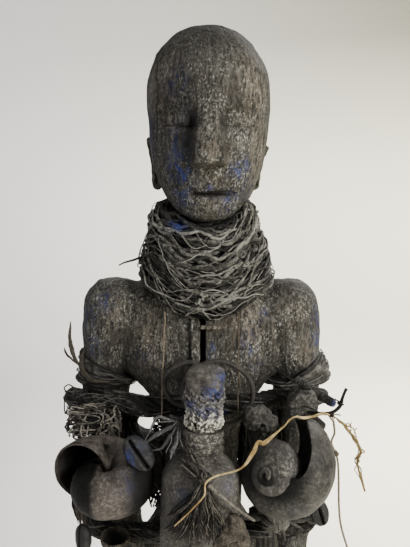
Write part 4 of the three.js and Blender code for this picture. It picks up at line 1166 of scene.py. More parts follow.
def addRope(name, rows, cadNode, seed, threads):
    # Strands wind about the loop's line, each an even turn from the next, over a dark core that is
    # painted shade between them. Short loose threads run along the outside.
    dice = np.random.default_rng(seed)
    line = through(rows, 300, closed=True)
    path, thick = line[:, :3], line[:, 3]
    way = unit(np.roll(path, -1, axis=0) - np.roll(path, 1, axis=0))
    high = unit(np.array([0, 0, 1.0]) - way[:, 2:] * way)
    side = np.cross(high, way)
    t = np.arange(len(path)) / len(path)

    def around(angle, reach):
        out = np.cos(angle)[:, None] * side + np.sin(angle)[:, None] * high
        return path + (reach * thick)[:, None] * out

    count = 11
    turns = dice.integers(5, 9)
    lap = 2 * np.pi * t
    strandPaths = np.array([
        around(2 * np.pi * k / count + turns * lap + 0.3 * np.sin(7 * lap + k),
               0.66 + 0.08 * np.sin(9 * lap + 2 * k))
        for k in range(count)])
    core = strands(path, 0.62 * thick, -0.3, 10, closed=True, up=(0, 0, 1))
    width = 2.0 + 0.45 * np.sin(2 * np.pi * 23 * t[None] + dice.uniform(0, 6, (count, 1)))
    bundles = [core, strands(strandPaths, width, dice.uniform(-0.1, 0.6, count), 7, closed=True,
                             up=(0, 0, 1))]
    starts = dice.integers(0, len(path), threads)
    span = dice.integers(12, 30, threads)
    steps = np.linspace(0, 1, 22)
    place = (starts[:, None] + span[:, None] * steps) % len(path)
    near = np.floor(place).astype(int)
    angle = dice.uniform(0, 2 * np.pi, (threads, 1)) + dice.uniform(-1.8, 1.8, (threads, 1)) * steps
    phase = dice.uniform(3, 9, (threads, 1)) * steps + dice.uniform(0, 6, (threads, 1))
    reach = 0.98 + 0.10 * np.sin(phase)
    f = (place - near)[..., None]
    after = (near + 1) % len(path)
    middle = path[near] * (1 - f) + path[after] * f
    out = np.cos(angle)[..., None] * side[near] + np.sin(angle)[..., None] * high[near]
    loose = middle + (reach * thick[near])[..., None] * out
    bundles.append(strands(loose, dice.uniform(0.25, 0.6, (threads, 1)), dice.uniform(0.1, 1.1, threads),
                           5))
    surface, tints = gathered(bundles)
    points = surface[0]
    pigment = patches(points, [(-3, -46, 358, 6, 4, 0.6), (12, -46, 355, 5, 3, 0.9)])
    addPiece(name, surface, ropeMaterial, [cadNode], {"tint": tints, "pigment": pigment})


def addBand(name, side, low, high, spread, slope, cadNode, material, seed):
    # Bark cloth slung round the arm: ovals whose height runs from the low edge to an upper edge that
    # rises outwards by the slope, with folds that follow that edge.
    rows = [(0, 19.5, -22, 22), (0.12, 21.3 + spread, -24, 23), (0.5, 20.3 + spread, -24, 24),
            (0.88, 21.3, -25.3, 24), (1, 19, -23, 22)]
    share, half, front, back = through(rows, 46).T
    rings = levelRings(side * (69 - 2 * share), 0.0, half, front, back, 150, 2.3)
    top = np.maximum(high + slope * (side * rings[..., 0] - 68), low + 4)
    rings[..., 2] = low + (top - low) * share[:, None]
    surface = tubes(rings)
    points = surface[0].copy()
    share = np.concatenate([np.repeat(share, 150), [0, 1]])
    inside = span(share, 0.0, 0.15, 0.85, 1.0)
    folds = np.sin(7.5 * share + 0.05 * points[:, 0] + 2.2 * waves(points, 26, seed, 3)) * inside
    surface = moved(surface, 0.7 * folds + 0.8 * waves(points, 11, seed + 1, 3) * inside - 0.4)
    # painted shade: the cloth is lighter on the crests of its folds, darker in their hollows and darker
    # towards both edges
    tint = 0.42 + 0.28 * folds + 0.12 * waves(points, 6, seed + 2, 2)
    tint = tint - 0.7 * smooth(0.93, 1.0, share) - 0.5 * smooth(0.1, 0.0, share)
    # frayed threads lie slantwise over the cloth
    dice = np.random.default_rng(seed)
    count = 70
    t = np.linspace(0, 1, 26)
    row = dice.uniform(4, 34, (count, 1)) + dice.uniform(-6, 10, (count, 1)) * t
    column = dice.uniform(0, 150, (count, 1)) + dice.uniform(8, 26, (count, 1)) * t
    path = onGrid(rings, row, column)
    out = unit(path * [1, 1, 0] - [side * 68, 0, 0])
    lift = 0.5 + 0.5 * np.sin(dice.uniform(3, 9, (count, 1)) * t + dice.uniform(0, 6, (count, 1)))
    path = path + out * lift[..., None]
    frays = strands(path, dice.uniform(0.25, 0.5, (count, 1)), dice.uniform(-0.2, 1.0, count), 5)
    surface, tint = gathered([(surface, tint), frays])
    addPiece(name, surface, material, [cadNode], {"tint": tint, "pigment": 0.0})


def onGrid(rings, row, column):
    # The point between four neighbours of a grid of rings, the columns running round.
    i, j = np.floor(row).astype(int), np.floor(column).astype(int)
    f, g = (row - i)[..., None], (column - j)[..., None]
    sides = rings.shape[1]
    low = rings[i, j % sides] * (1 - g) + rings[i, (j + 1) % sides] * g
    high = rings[i + 1, j % sides] * (1 - g) + rings[i + 1, (j + 1) % sides] * g
    return low * (1 - f) + high * f


wads = {
    # x, z, half width, front, back, squareness
    "left": [
        (-39, 282, 7, -12, 8, 2.2), (-40, 289, 13, -16, 10, 2.2), (-41, 304, 16, -18, 11, 2.2),
        (-41, 316, 16, -17, 10, 2.2), (-43, 325, 13, -15, 8, 2.2), (-50, 331, 5, -12, 6, 2.2),
        (-50.5, 341, 4.5, -12, 6, 2.2), (-51, 350, 4, -10, 5, 2.2),
    ],
    "right": [
        (43, 296, 10, -13, 8, 2.2), (43, 302, 15, -17, 10, 2.2), (42, 320, 16, -18, 11, 2.2),
        (43, 338, 15, -17, 10, 2.2), (45, 349, 12, -14, 8, 2.2), (46, 354, 7, -11, 6, 2.2),
    ],
}


def addWad(name, rows, cadNode, seed):
    # Dark fibre between arm and body, partly a dark mass put where that gap is in deep shade: a lumpy
    # loft with threads that hang over its front.
    dice = np.random.default_rng(seed)
    wad = levelLoft(rows, 60, 50)
    wad = moved(wad, 0.7 * waves(wad[0], 9, seed, 3) - 0.3)
    x, z, half, front, _, _ = through(rows, 60).T
    count, hanging = 60, 34
    starts, ends = dice.integers(28, 56, count), dice.integers(2, 26, count)
    side = dice.uniform(-0.85, 0.85, (count, 2))

    def place(i, k):
        return np.stack([x[i] + side[:, k] * half[i], front[i] * 0.9 - 0.6, z[i]], 1)

    threads = looseThreads(place(starts, 0), place(ends, 1), seed + 1, 1.6)
    low = rows[0]
    across = low[0] + dice.uniform(-0.9, 1.5, hanging) * low[2]
    tops = np.stack([across, dice.uniform(low[3], 2, hanging), np.full(hanging, low[1] + 6.0)], 1)
    fall = [dice.normal(0, 2.5, hanging), dice.normal(0, 1.5, hanging), -dice.uniform(10, 19, hanging)]
    fringe = looseThreads(tops, tops + np.stack(fall, 1), seed + 2, 1.5)
    bundles = [tinted(wad, -0.2), strands(threads, 0.45, dice.uniform(-0.1, 0.7, count), 5)]
    width = dice.uniform(0.35, 0.9, (hanging, 1))
    bundles.append(strands(fringe, width, dice.uniform(-0.2, 0.5, hanging), 5))
    surface, tints = gathered(bundles)
    addPiece(name, surface, ropeMaterial, [cadNode], {"tint": tints, "pigment": 0.0})


ropeMaterial = strandMaterial("rope", ropeLook, pigment=True)
barkMaterial = strandMaterial("barkCloth", barkLook)
darkBarkMaterial = strandMaterial("darkBarkCloth", darkBarkLook)
addRope("upperRope", ropes["upper"], "upper_rope", 71, 260)
addRope("lowerRope", ropes["lower"], "lower_rope", 72, 240)
addBand("rightBand", 1, 367, 376, 4, 0.7, "right_elbow_band", barkMaterial, 81)
addBand("leftBand", -1, 366.5, 381, 1, 0.5, "left_elbow_band", darkBarkMaterial, 85)
addWad("leftFibreWad", wads["left"], "left_fibre_wad", 87)
addWad("rightFibreWad", wads["right"], "right_fibre_wad", 89)

print("bottle and stopper")

bottle = {
    "x": -0.8, "y": -71.5, "z": 276.0, "lean": 2.0, "radius": 26.4, "wall": 2.4,
    "body": 45.0, "neckFoot": 61.0, "neck": 12.4, "height": 78.0,
}
stopper = {"radius": 12.8, "height": 41.0, "plug": 9.0, "plugRadius": 8.8}


def turned(profile, sides):
    # A profile of (radius, height) turned about the bottle's own leaning line.
    profile = np.asarray(profile, float)
    a = -circle(sides)
    r, z = profile[:, :1], profile[:, 1:]
    x, y, z = r * np.cos(a), r * np.sin(a), z + 0 * a
    x, z = spun(x, z, math.radians(bottle["lean"]))
    return tubes(np.stack([x, y, z], -1) + [bottle["x"], bottle["y"], bottle["z"]])


def denser(profile, step):
    # The same profile with more points on its longer spans.
    profile = np.asarray(profile, float)
    long = np.concatenate([[0], np.cumsum(np.linalg.norm(np.diff(profile, axis=0), axis=1))])
    t = np.linspace(0, long[-1], int(long[-1] / step))
    t = np.unique(np.concatenate([t, long]))
    return np.stack([np.interp(t, long, profile[:, 0]), np.interp(t, long, profile[:, 1])], 1)


def addBottle():
    r, n, wall = bottle["radius"], bottle["neck"], bottle["wall"]
    low, foot, high = bottle["body"], bottle["neckFoot"], bottle["height"]
    outside = [(0.3, 0), (r - 2.4, 0), (r - 0.6, 0.8), (r, 2.8), (r, low - 2), (r - 0.5, low + 3),
               (r - 2.2, low + 7), (r - 5.2, low + 10.6),
               (r - 9, low + 13.2), (n + 2.2, foot - 0.6)]
    neck = [(n + 0.6, foot + 0.8), (n + 0.2, foot + 2), (n + 1.5, foot + 3.4), (n + 1.6, foot + 4.6),
            (n + 0.2, foot + 5.8), (n + 0.1, foot + 6.6),
            (n + 1.3, foot + 7.8), (n + 1.4, foot + 9), (n + 0.1, foot + 10.2), (n + 0.1, foot + 11),
            (n + 1.1, foot + 12.2),
            (n + 1.1, foot + 14.2), (n + 0.5, high), (n - wall + 0.4, high)]
    inside = [(n - wall, high - 1), (n - wall, foot), (r - 8.6, low + 9.6), (r - wall, low - 1),
              (r - wall, 5), (r - 5, wall), (0.3, wall)]
    profile = denser(outside + neck + inside, 0.9)
    surface = turned(profile, 170)
    points = surface[0]
    rows = len(profile)
    outerRows = np.arange(rows) < rows - np.argmax(profile[::-1, 1] >= high - 0.01)
    outer = np.concatenate([np.repeat(outerRows, 170), [True, False]])
    crust = 0.35 * waves(points, 14, 91, 3) + 0.25 * waves(points, 4, 92, 3)
    lumps = smooth(0.25, 0.8, waves(points, 7, 93, 3)) * (0.35 + 0.9 * smooth(300, 285, points[:, 2]))
    surface = moved(surface, np.where(outer, crust * 0.6 + lumps * 0.7 - 0.45, 0.0))
    layers = {
        "dust": patches(points, [(22, -82, 318, 10, 24, 0.75), (-16, -92, 322, 8, 10, 0.35),
                                 (-22, -86, 280, 12, 12, 0.5), (5, -84, 347, 15, 10, 1.7)]) - 0.12,
        "pigment": patches(points, [(-10, -95, 318, 5, 5, 0.35), (18, -92, 322, 4, 6, 0.25)]),
        # painted shade: the inside, the left side, low on the front and a line at the foot of the neck
        "shadeAndDarkTone": np.clip(0.8 * (~outer)
                        + patches(points, [(-26, -60, 305, 8, 40, 0.5), (4, -97, 300, 13, 14, 0.35)])
                        + 0.5 * bump(points[:, 2], 339.2, 0.8), 0, 1),
    }
    addPiece("encrustedBottle", surface, glassMaterial, ["bottle"], layers)


def addStopper():
    r, p, z0, h = stopper["radius"], stopper["plugRadius"], bottle["height"], stopper["height"]
    foot = z0 - stopper["plug"]
    profile = [
        (0.3, foot), (p - 1, foot), (p, foot + 2), (p, z0 + 0.9), (r - 1.5, z0 + 0.9), (r, z0 + 4),
        (r - 1.2, z0 + 12), (r + 0.4, z0 + 20), (r - 0.4, z0 + 28), (r, z0 + 35), (r - 1.2, z0 + h - 2.4),
        (r - 4, z0 + h - 0.4), (0.3, z0 + h),
    ]
    surface = turned(denser(profile, 0.45), 190)
    points = surface[0]
    z = points[:, 2]
    rough = 1 - smooth(377, 384, z)
    outside = smooth(354.5, 356, z)
    grains = 0.6 * waves(points, 5.2, 95, 3) + 0.6 * waves(points, 2.3, 98, 2)
    holes = smooth(0.35, 0.75, 0.65 * waves(points, 7.5, 96, 3) + 0.55 * waves(points, 3.1, 99, 2)) * rough
    lumps = 0.9 * smooth(-0.2, 0.9, grains) * (0.3 + 0.7 * rough)
    push = (lumps - 1.9 * holes + 0.35 * waves(points, 13, 97, 2) - 0.3) * outside
    surface = moved(surface, push)
    dust = 0.3 * smooth(384, 376, z) + 1.3 * smooth(372, 361, z)
    layers = {
        "dust": dust * smooth(0.3, -0.3, 1.4 * holes - 0.5 * grains) - 0.2,
        "pigment": patches(points, [(9, -84, 380, 6, 5, 0.9), (-6, -84, 371, 8, 4, 0.7),
                                    (5, -84, 368, 10, 4, 0.6), (13, -76, 388, 5, 5, 0.6),
                                    (2, -60, 380, 9, 7, 0.5)]),
        # painted shade in the pits and between the grains, most on the rough lower part
        "shadeAndDarkTone": np.clip(0.95 * holes + 0.5 * smooth(0.2, -0.7, grains) * (0.4 + 0.6 * rough), 0, 1),
    }
    addPiece("encrustedStopper", surface, stopperMaterial, ["bottle_stopper"], layers)


glassMaterial = crustMaterial("crustedGlass", (0.020, 0.0175, 0.016), (0.082, 0.076, 0.067),
                              (0.27, 0.255, 0.225), 70, 520, (0.50, 0.70))
stopperMaterial = crustMaterial("stopperCrust", (0.018, 0.016, 0.0145), (0.085, 0.078, 0.068),
                                (0.60, 0.57, 0.50), 120, 620, (0.42, 0.60))
addBottle()
addStopper()

print("snail shells and cowries")

snail = {
    "wall": 1.6,
    # place of the apex, the way it points, the way to the mouth; the tube's place, width and height there
    "right": {
        "apex": (38.5, -98, 333), "apexWay": (-0.55, -0.80, 0.22), "mouthWay": (0.42, -0.1, 1), "hand": 1,
        "turns": 3.3,
        "growth": 1.9, "out": 19.0, "radial": 19.2, "axial": 22.0, "drop": 29.0, "flare": 0.0,
    },
    "left": {
        "apex": (-60.5, -60.5, 296), "apexWay": (0, 0.217, -0.976), "mouthWay": (-0.9, 0.1, 0.4),
        "hand": -1, "turns": 5.0,
        "growth": 1.45, "out": 18.0, "radial": 18.0, "axial": 21.0, "drop": 24.0, "flare": 0.05,
    },
}


def snailShell(shape, lipBack, sides=84, rows=(190, 70)):
    # A round tube grows along a spiral about the shell's own line: at each turn back its place, width and
    # drop are `growth` times smaller. The outer skin ends in a rounded lip and the inner skin goes
    # back from it, so the mouth has a real wall. lipBack says how far back the lip stands, by angle.
    axis = unit(np.array(shape["apexWay"], float))
    side = np.array(shape["mouthWay"], float)
    side = unit(side - side @ axis * axis)
    ahead = shape["hand"] * np.cross(axis, side)
    outer = -shape["turns"] * (1 - np.linspace(0, 1, rows[0]) ** 0.8)
    inner = np.linspace(0, -0.85, rows[1])
    turn = np.concatenate([outer, np.zeros(5), inner])
    rounding = 0.5 - 0.5 * np.cos(np.linspace(0.3, np.pi - 0.3, 5))
    inset = snail["wall"] * np.concatenate([0 * outer, rounding, np.ones(rows[1])])
    b = circle(sides)
    stretch = np.clip((turn[:, None] + 0.55) / 0.55, 0, 1)
    bulge = np.concatenate([0 * outer, 0.006 * np.sin(np.linspace(0, np.pi, 5)), 0 * inner])
    turn = turn[:, None] + lipBack(b)[None] * stretch + bulge[:, None]
    s = shape["growth"] ** turn
    wide = 1 + shape["flare"] * np.maximum(0, 1 + 3 * turn) ** 2
    a = 2 * np.pi * turn
    way = np.cos(a)[..., None] * side + np.sin(a)[..., None] * ahead
    middle = (shape["apex"] + way * (shape["out"] * s * wide)[..., None]
              - axis * (shape["drop"] * s)[..., None])
    thin = inset[:, None] * np.minimum(1, s * wide + 0.2)
    rings = middle + way * ((shape["radial"] * s * wide - thin) * np.cos(b))[..., None]
    rings = rings + axis * ((shape["axial"] * s * wide - thin) * np.sin(b))[..., None]
    surface = tubes(rings)
    isInner = np.repeat(np.arange(len(inset)) > rows[0] + 2, sides)
    growth = np.concatenate([turn.ravel(), turn[0, :1], turn[-1, :1]])
    isInner = np.concatenate([isInner, [False, True]])
    # painted shade: the inner skin grows dark going back into the mouth
    deep = np.where(isInner, smooth(0.03, -0.14, growth), 0.0)
    # painted shade: the seam where a turn meets the one before it is dark
    seam = np.concatenate([np.tile(smooth(-0.35, -0.8, np.cos(b)), len(inset)), [0, 0]])
    deep = np.maximum(deep, 0.85 * seam * ~isInner * (growth < -0.3))
    lines = 0.07 * np.sin(growth * 95 + 2 * waves(surface[0], 20, 7, 2)) * smooth(-2.2, -1.0, growth)
    push = np.where(isInner, 0.0, lines + 0.3 * waves(surface[0], 11, 8, 3) - 0.25)
    surface = moved(surface, push * np.clip(shape["growth"] ** growth * 2.2, 0, 1))
    return surface, growth, isInner, deep


def addRightShell():
    # The lip is cut far back on the side that faces the viewer, which shows as a dark crescent.
    def back(b):
        return -0.18 * span(b, 0.15, 1.5, 2.6, 3.1) + 0.09 * span(b, 3.4, 4.1, 5.3, 6.0)

    surface, growth, isInner, deep = snailShell(snail["right"], back)
    points = surface[0]
    knob = bump(growth, -2.4, 0.42) * 0.95
    # painted shadow: the last turn is dark where it comes out from under the one before it, and its
    # lower part towards the body is shaded as well
    gap = np.hypot(points[:, 0] - 44.4, points[:, 2] - 335)
    shadow = 0.92 * smooth(27, 15, gap) * smooth(-1.0, -0.72, growth) * (points[:, 1] < -60)
    below = smooth(-90, -76, points[:, 1]) * smooth(330, 312, points[:, 2]) * smooth(66, 44, points[:, 0])
    shadow = np.maximum(shadow, 0.4 * below)
    # painted shade in the pits, which are also pressed in
    pits = smooth(0.35, 0.9, waves(points, 3.4, 9, 3)) * patches(points, [(53, -96, 350, 13, 13, 1.0)])
    layers = {
        "growth": growth,
        "dust": patches(points, [(70, -85, 325, 12, 20, 0.35), (50, -104, 338, 14, 14, 0.85),
                                 (45, -102, 318, 12, 8, 0.5)]) - 0.15,
        "pigment": patches(points, [(80, -70, 322, 7, 10, 0.4), (60, -95, 312, 9, 6, 0.2)]),
        "shadeAndDarkTone": np.clip(np.maximum(deep, np.where(isInner, 0.85, 0)) + knob + 0.9 * pits + shadow, 0, 1),
    }
    surface = moved(surface, -0.9 * pits)
    addPiece("rightSnailShell", surface, rightShellMaterial, ["right_snail_shell"], layers)


def addLeftShell():
    surface, growth, isInner, deep = snailShell(snail["left"], np.zeros_like)
    points = surface[0]
    # painted shadow: the globe is black where the mouth overhangs it; its right side and the mouth's
    # inside are painted dark as shade too
    heights, edges = [285, 292, 300, 310, 323, 329, 335, 340], [-66, -66, -68, -69.5, -69, -67, -63, -60]
    edge = np.interp(points[:, 2], heights, edges)
    overhangShadow = smooth(edge + 2.5, edge - 0.6, points[:, 0]) * smooth(342, 337, points[:, 2])
    overhangShadow = overhangShadow * (points[:, 1] < -58) * (growth < -0.15)
    layers = {
        "growth": growth,
        "dust": patches(points, [(-66, -84, 312, 12, 14, 0.5), (-52, -85, 300, 14, 10, 0.4)]) - 0.1,
        "pigment": patches(points, [(-44, -80, 318, 7, 9, 0.6), (-36, -74, 308, 6, 10, 0.4)]),
        "shadeAndDarkTone": np.clip(deep + 0.6 * isInner + 0.97 * smooth(-51, -40, points[:, 0]) + overhangShadow, 0, 1),
    }
    addPiece("leftSnailShell", surface, leftShellMaterial, ["left_snail_shell"], layers)


cowries = [
    # x, y, z, length, tilt in the picture, turn about Z
    ("leftCowrie", "left_cowrie", (-39.6, -74.5, 338, 26, -32, 8)),
    ("rightCowrie", "right_cowrie", (81.8, -44, 284.2, 21, -18, 14)),
    ("lowLeftCowrie", "lower_left_cowrie", (-81.5, -46, 266, 21, 0, -46)),
]


def cowrie(x, y, z, length, tilt, turn, sides=84, rows=64):
    # An egg with a flatter under face; the slit is pressed in along it, between two toothed lips.
    half = length / 2
    fall = np.linspace(0.05, np.pi - 0.05, rows)[:, None]
    a = circle(sides)[None]
    wide = np.sin(fall) ** 0.9
    px = 0.66 * half * wide * np.sin(a)
    py = -0.52 * half * wide * np.cos(a)
    py = np.where(py < -0.27 * half, -0.27 * half + 0.25 * (py + 0.27 * half), py)
    pz = half * np.cos(fall) + 0 * a
    away = np.angle(np.exp(1j * a))
    reach = smooth(0.98, 0.80, np.abs(np.cos(fall)))
    slit = bump(np.abs(px), 0, 0.075 * half) * reach * (np.cos(away) > 0)
    lips = bump(np.abs(px), 0.17 * half, 0.09 * half) * reach * (np.cos(away) > 0)
    teeth = 0.5 + 0.5 * np.cos(pz * 2 * np.pi / (half * 0.13))
    py = py + 0.33 * half * slit - 0.05 * half * lips * (0.4 + 0.6 * teeth)
    tilt, turn = math.radians(tilt), math.radians(turn)
    px, pz = spun(px, pz, tilt)
    py, px = spun(py, px, turn)
    surface = tubes(np.stack([px + x, py + y, pz + z], -1))
    ends = [0.0, 0.0]
    # the slit is painted dark as shade
    shadeAndDarkTone = np.concatenate([np.clip(1.3 * slit - 0.1, 0, 1).ravel(), ends])
    worn = np.concatenate([(0.5 * lips * teeth).ravel(), ends])
    surface = moved(surface, 0.12 * waves(surface[0], 5, int(abs(x)), 2))
    return surface, shadeAndDarkTone, worn


def addCowries():
    for name, cadNode, place in cowries:
        surface, shadeAndDarkTone, worn = cowrie(*place)
        blue = patches(surface[0], [(-46, -80, 334, 3.5, 7, 0.8), (-38, -70, 343, 5, 5, 0.2)])
        layers = {"shadeAndDarkTone": shadeAndDarkTone, "dust": worn - 0.1, "pigment": blue}
        addPiece(name, surface, cowrieMaterial, [cadNode], layers)


rightShellMaterial = shellMaterial("greyShell", (0.014, 0.013, 0.0125), (0.058, 0.054, 0.049),
                                   (0.34, 0.32, 0.28))
leftShellMaterial = shellMaterial("tanShell", (0.016, 0.013, 0.012), (0.078, 0.066, 0.058),
                                  (0.36, 0.33, 0.28))
cowrieMaterial = crustMaterial("cowrieShell", (0.009, 0.0085, 0.0088), (0.024, 0.0235, 0.0235),
                               (0.12, 0.115, 0.108), 110, 420, (0.50, 0.72), rough=(0.42, 0.7))
addRightShell()
addLeftShell()
addCowries()

print("iron rings, pegs and lumps")

ironRings = [
    # x, y, z, radius, lean in degrees, radius of the wire, seed
    ("leftRing", "left_iron_ring", -8, -48.5, 376, 16, 6, 1.65, 1),
    ("rightRing", "right_iron_ring", 11.5, -53, 371, 23, 6, 1.6, 2),
]
pegs = [
    # start, stop, radius, how blue its tip is, seed
    ("blueTippedPeg", "blue_tipped_peg", (64, -48, 379.5), (88.2, -62, 366.2), 3.1, 1.0, 4),
    ("darkPeg", "dark_peg", (66, -56, 361), (79.7, -68, 351.3), 4.2, 0.0, 5),
]
lumps = {
    # middle and half sizes of the rounds that each lump is fused from
    "knotted": [(37, -62, 359, 8.5, 7.5, 7.5), (43.5, -61, 354, 7.5, 7.5, 6.5),
                (34, -60, 354, 6, 6.5, 5.5)],
    "tan": [(20, -91, 296, 8.6, 6.6, 8.6), (24, -86, 286, 7.6, 6.6, 7.6), (13, -93, 288, 5.6, 5.2, 6.6)],
    # x and z of the knotted lump's hole and of the hollow above it
    "hole": (40, 353.5),
    "hollow": (40.5, 360.2),
}
packet = {
    "place": (67.5, -52, 363.5), "halfDepth": 10.2, "tip": -8,
    "outline": [(-8.5, -6.5), (0, -7.8), (7.5, -7.5), (9.6, -1), (9, 8.6), (1, 10.8), (-6, 7.5), (-10, 1)],
    "hole": (61.5, 359),
}


def addRing(name, cadNode, x, y, z, radius, lean, wire, seed):
    # A round wire bent to a circle, its place and thickness a little uneven.
    a = circle(160)
    reach = radius + 0.35 * np.sin(2 * a + seed) + 0.2 * np.sin(5 * a)
    rise, tip = reach * np.sin(a), math.radians(lean)
    path = np.stack([x + reach * np.cos(a), y - rise * math.sin(tip), z + rise * math.cos(tip)], 1)
    surface, _ = strands(path, wire * (1 + 0.08 * np.sin(7 * a)), 0, 16, closed=True, up=(0, 1, 0))
    surface = moved(surface, 0.12 * waves(surface[0], 3, seed, 3))
    addPiece(name, surface, ironMaterial, [cadNode], {"dust": -0.1, "shadeAndDarkTone": 0.0, "pigment": 0.0})


def addPeg(name, cadNode, start, stop, radius, tipBlue, seed):
    # A whittled peg: a straight line with a rounded end, its surface a little uneven.
    t = np.linspace(0, 1, 60)
    shape = np.interp(t, [0, 0.3, 0.7, 0.88, 0.95, 0.985, 1], [0.8, 1, 1.05, 1.0, 0.85, 0.55, 0.15])
    way = np.subtract(stop, start)
    surface, _ = strands(start + way * t[:, None], radius * shape, 0, 28)
    surface = moved(surface, 0.22 * waves(surface[0], 5, seed, 2))
    blue = smooth(0.84, 0.93, (surface[0] - start) @ way / (way @ way)) * tipBlue
    layers = {"pigment": blue, "rub": 0.1, "dust": 0.0, "shadeAndDarkTone": 0.35 * (1 - blue)}
    addPiece(name, surface, darkWood, [cadNode], layers)


def crusted(rounds, voxel, seed, big, small):
    # Overlapping rounds as one skin, with folds and crumbs pushed out of it.
    surface = fused([ball(*row) for row in rounds], voxel, 4)
    return moved(surface, big * waves(surface[0], 7, seed, 3) + small * waves(surface[0], 2.2, seed + 1, 2))


def addKnottedLump():
    lump = crusted(lumps["knotted"], 0.8, 101, 1.1, 0.45)
    x, y, z = lump[0].T  # these are views: what is added to y moves the points
    holeX, holeZ = lumps["hole"]
    hole = spot(x - holeX, z - holeZ, 1.5, 1.3) * (y < -60)
    rim = bump(np.hypot(x - holeX, z - holeZ), 2.7, 0.9) * (y < -60)
    y += 2.6 * hole - 0.8 * rim
    hollow = spot(x - lumps["hollow"][0], z - lumps["hollow"][1], 2.2, 1.6) * (y < -60)
    y += 1.2 * hollow
    # painted shade in the hole and the hollow above it
    layers = {"shadeAndDarkTone": np.clip(1.2 * hole + 0.7 * hollow, 0, 1), "dust": 0.15 + 0.3 * rim, "pigment": 0.0}
    addPiece("knottedLump", lump, packedMaterial, ["knotted_lump"], layers)


def addTanCrust():
    crust = crusted(lumps["tan"], 0.8, 103, 0.8, 0.3)
    shadeAndDarkTone = 0.8 * smooth(0.1, -0.9, waves(crust[0], 7, 103, 3))
    addPiece("tanCrust", crust, tanCrustMaterial, ["crust_lump"],
             {"shadeAndDarkTone": shadeAndDarkTone, "dust": 0.1, "pigment": 0.0})


def addPacket():
    # A layered wedge of bark: its outline at each depth, smaller at both ends, its layers as grooves.
    outline = through(packet["outline"], 96, closed=True)
    levels = np.linspace(-1, 1, 34)
    shrink = 0.82 + 0.18 * np.sqrt(1 - np.clip(np.abs(levels) - 0.72, 0, None) ** 2 / 0.28**2 * 0.96)
    x, z = outline[:, 0][None] * shrink[:, None], outline[:, 1][None] * shrink[:, None]
    y = packet["halfDepth"] * levels[:, None] + 0 * x
    x, z = spun(x, z, math.radians(packet["tip"]))
    surface = tubes(np.stack([x, y, z], -1) + packet["place"])
    x, y, z = surface[0].T
    folds = 1 - 2.2 * bump(z, 362.5 - 0.12 * (x - 67) + 0.7 * waves(surface[0], 16, 105, 2), 0.8)
    surface = moved(surface, 0.6 * folds + 0.7 * waves(surface[0], 8, 106, 3) - 0.7)
    hole = np.exp(-((np.hypot(x - packet["hole"][0], z - packet["hole"][1]) / 1.8) ** 2)) * (y < -58)
    surface[0][:, 1] += 2.0 * hole
    # painted shade in the grooves between the layers and in the hole
    layers = {"shadeAndDarkTone": np.clip(0.55 * smooth(-0.2, -1, folds) + hole, 0, 1), "dust": 0.2
              + 0.25 * smooth(0, 1, folds),
              "pigment": 0.0}
    addPiece("barkPacket", surface, packedMaterial, ["bark_packet"], layers)


# dark ground, light ground, pale grains; sizes of the ground's clouds and of the grains, their cover
ironMaterial = crustMaterial("iron", (0.016, 0.015, 0.015), (0.045, 0.040, 0.036),
                             (0.16, 0.14, 0.12), 120, 700, (0.52, 0.7), False, (0.45, 0.75))
packedMaterial = crustMaterial("packedBark", (0.012, 0.011, 0.010), (0.062, 0.058, 0.052),
                               (0.22, 0.21, 0.185), 100, 560, (0.50, 0.70))
tanCrustMaterial = crustMaterial("tanCrust", (0.014, 0.012, 0.010), (0.062, 0.052, 0.042),
                                 (0.24, 0.20, 0.15), 120, 520, (0.48, 0.68))
darkWood = woodMaterial("darkWood", dict(woodLook, grainWidth=1.0, blue=(0.05, 0.09, 0.34)), 0.75)
for row in ironRings:
    addRing(*row)
for row in pegs:
    addPeg(*row)
addKnottedLump()
addTanCrust()
addPacket()

print("roots, leaves, twigs and lower bindings")

tangle = {
    "count": 105, "middle": (-75, -34, 346), "room": (20, 9.5, 13.5), "heart": (-70, -36, 347, 11, 6, 8),
    # the lines of the source's own thick roots, each followed by three strands
    "loops": [
        [(-66, -34, 352), (-78, -34, 350), (-90, -30, 345), (-95, -24, 338), (-88, -26, 334),
         (-76, -38, 340)],
        [(-62, -36, 348), (-74, -40, 344), (-84, -38, 337), (-78, -40, 333), (-66, -40, 340)],
        [(-60, -34, 356), (-74, -30, 360), (-88, -24, 357), (-96, -12, 350), (-92, -10, 343),
         (-84, -26, 344)],
        [(-56, -38, 352), (-62, -42, 344), (-70, -44, 340), (-64, -42, 348), (-58, -40, 342)],
    ],
    # small open hooks that stick out to the left, against the background
    "hooks": [
        [(-86, -28, 352), (-93, -26, 353), (-95, -26, 349), (-91, -26, 347), (-86, -28, 348)],
        [(-86, -28, 341), (-93, -26, 341), (-95, -26, 336), (-92, -26, 334.5), (-88, -27, 337)],
        [(-88, -25, 366), (-93, -24, 369), (-96.4, -24, 367), (-95.4, -24, 364.5), (-93, -24, 365)],
        [(-88, -26, 358), (-93, -25, 362), (-96, -25, 358), (-96.5, -25, 352), (-96, -25, 348)],
    ],
}
tassel = {
    "count": 130, "topZ": 333, "lowZ": (288, 304), "halfSpread": 18.5, "knot": (3, -100.4, 332),
    "frontY": -106.5,
    "shoulderRoots": 26,
}
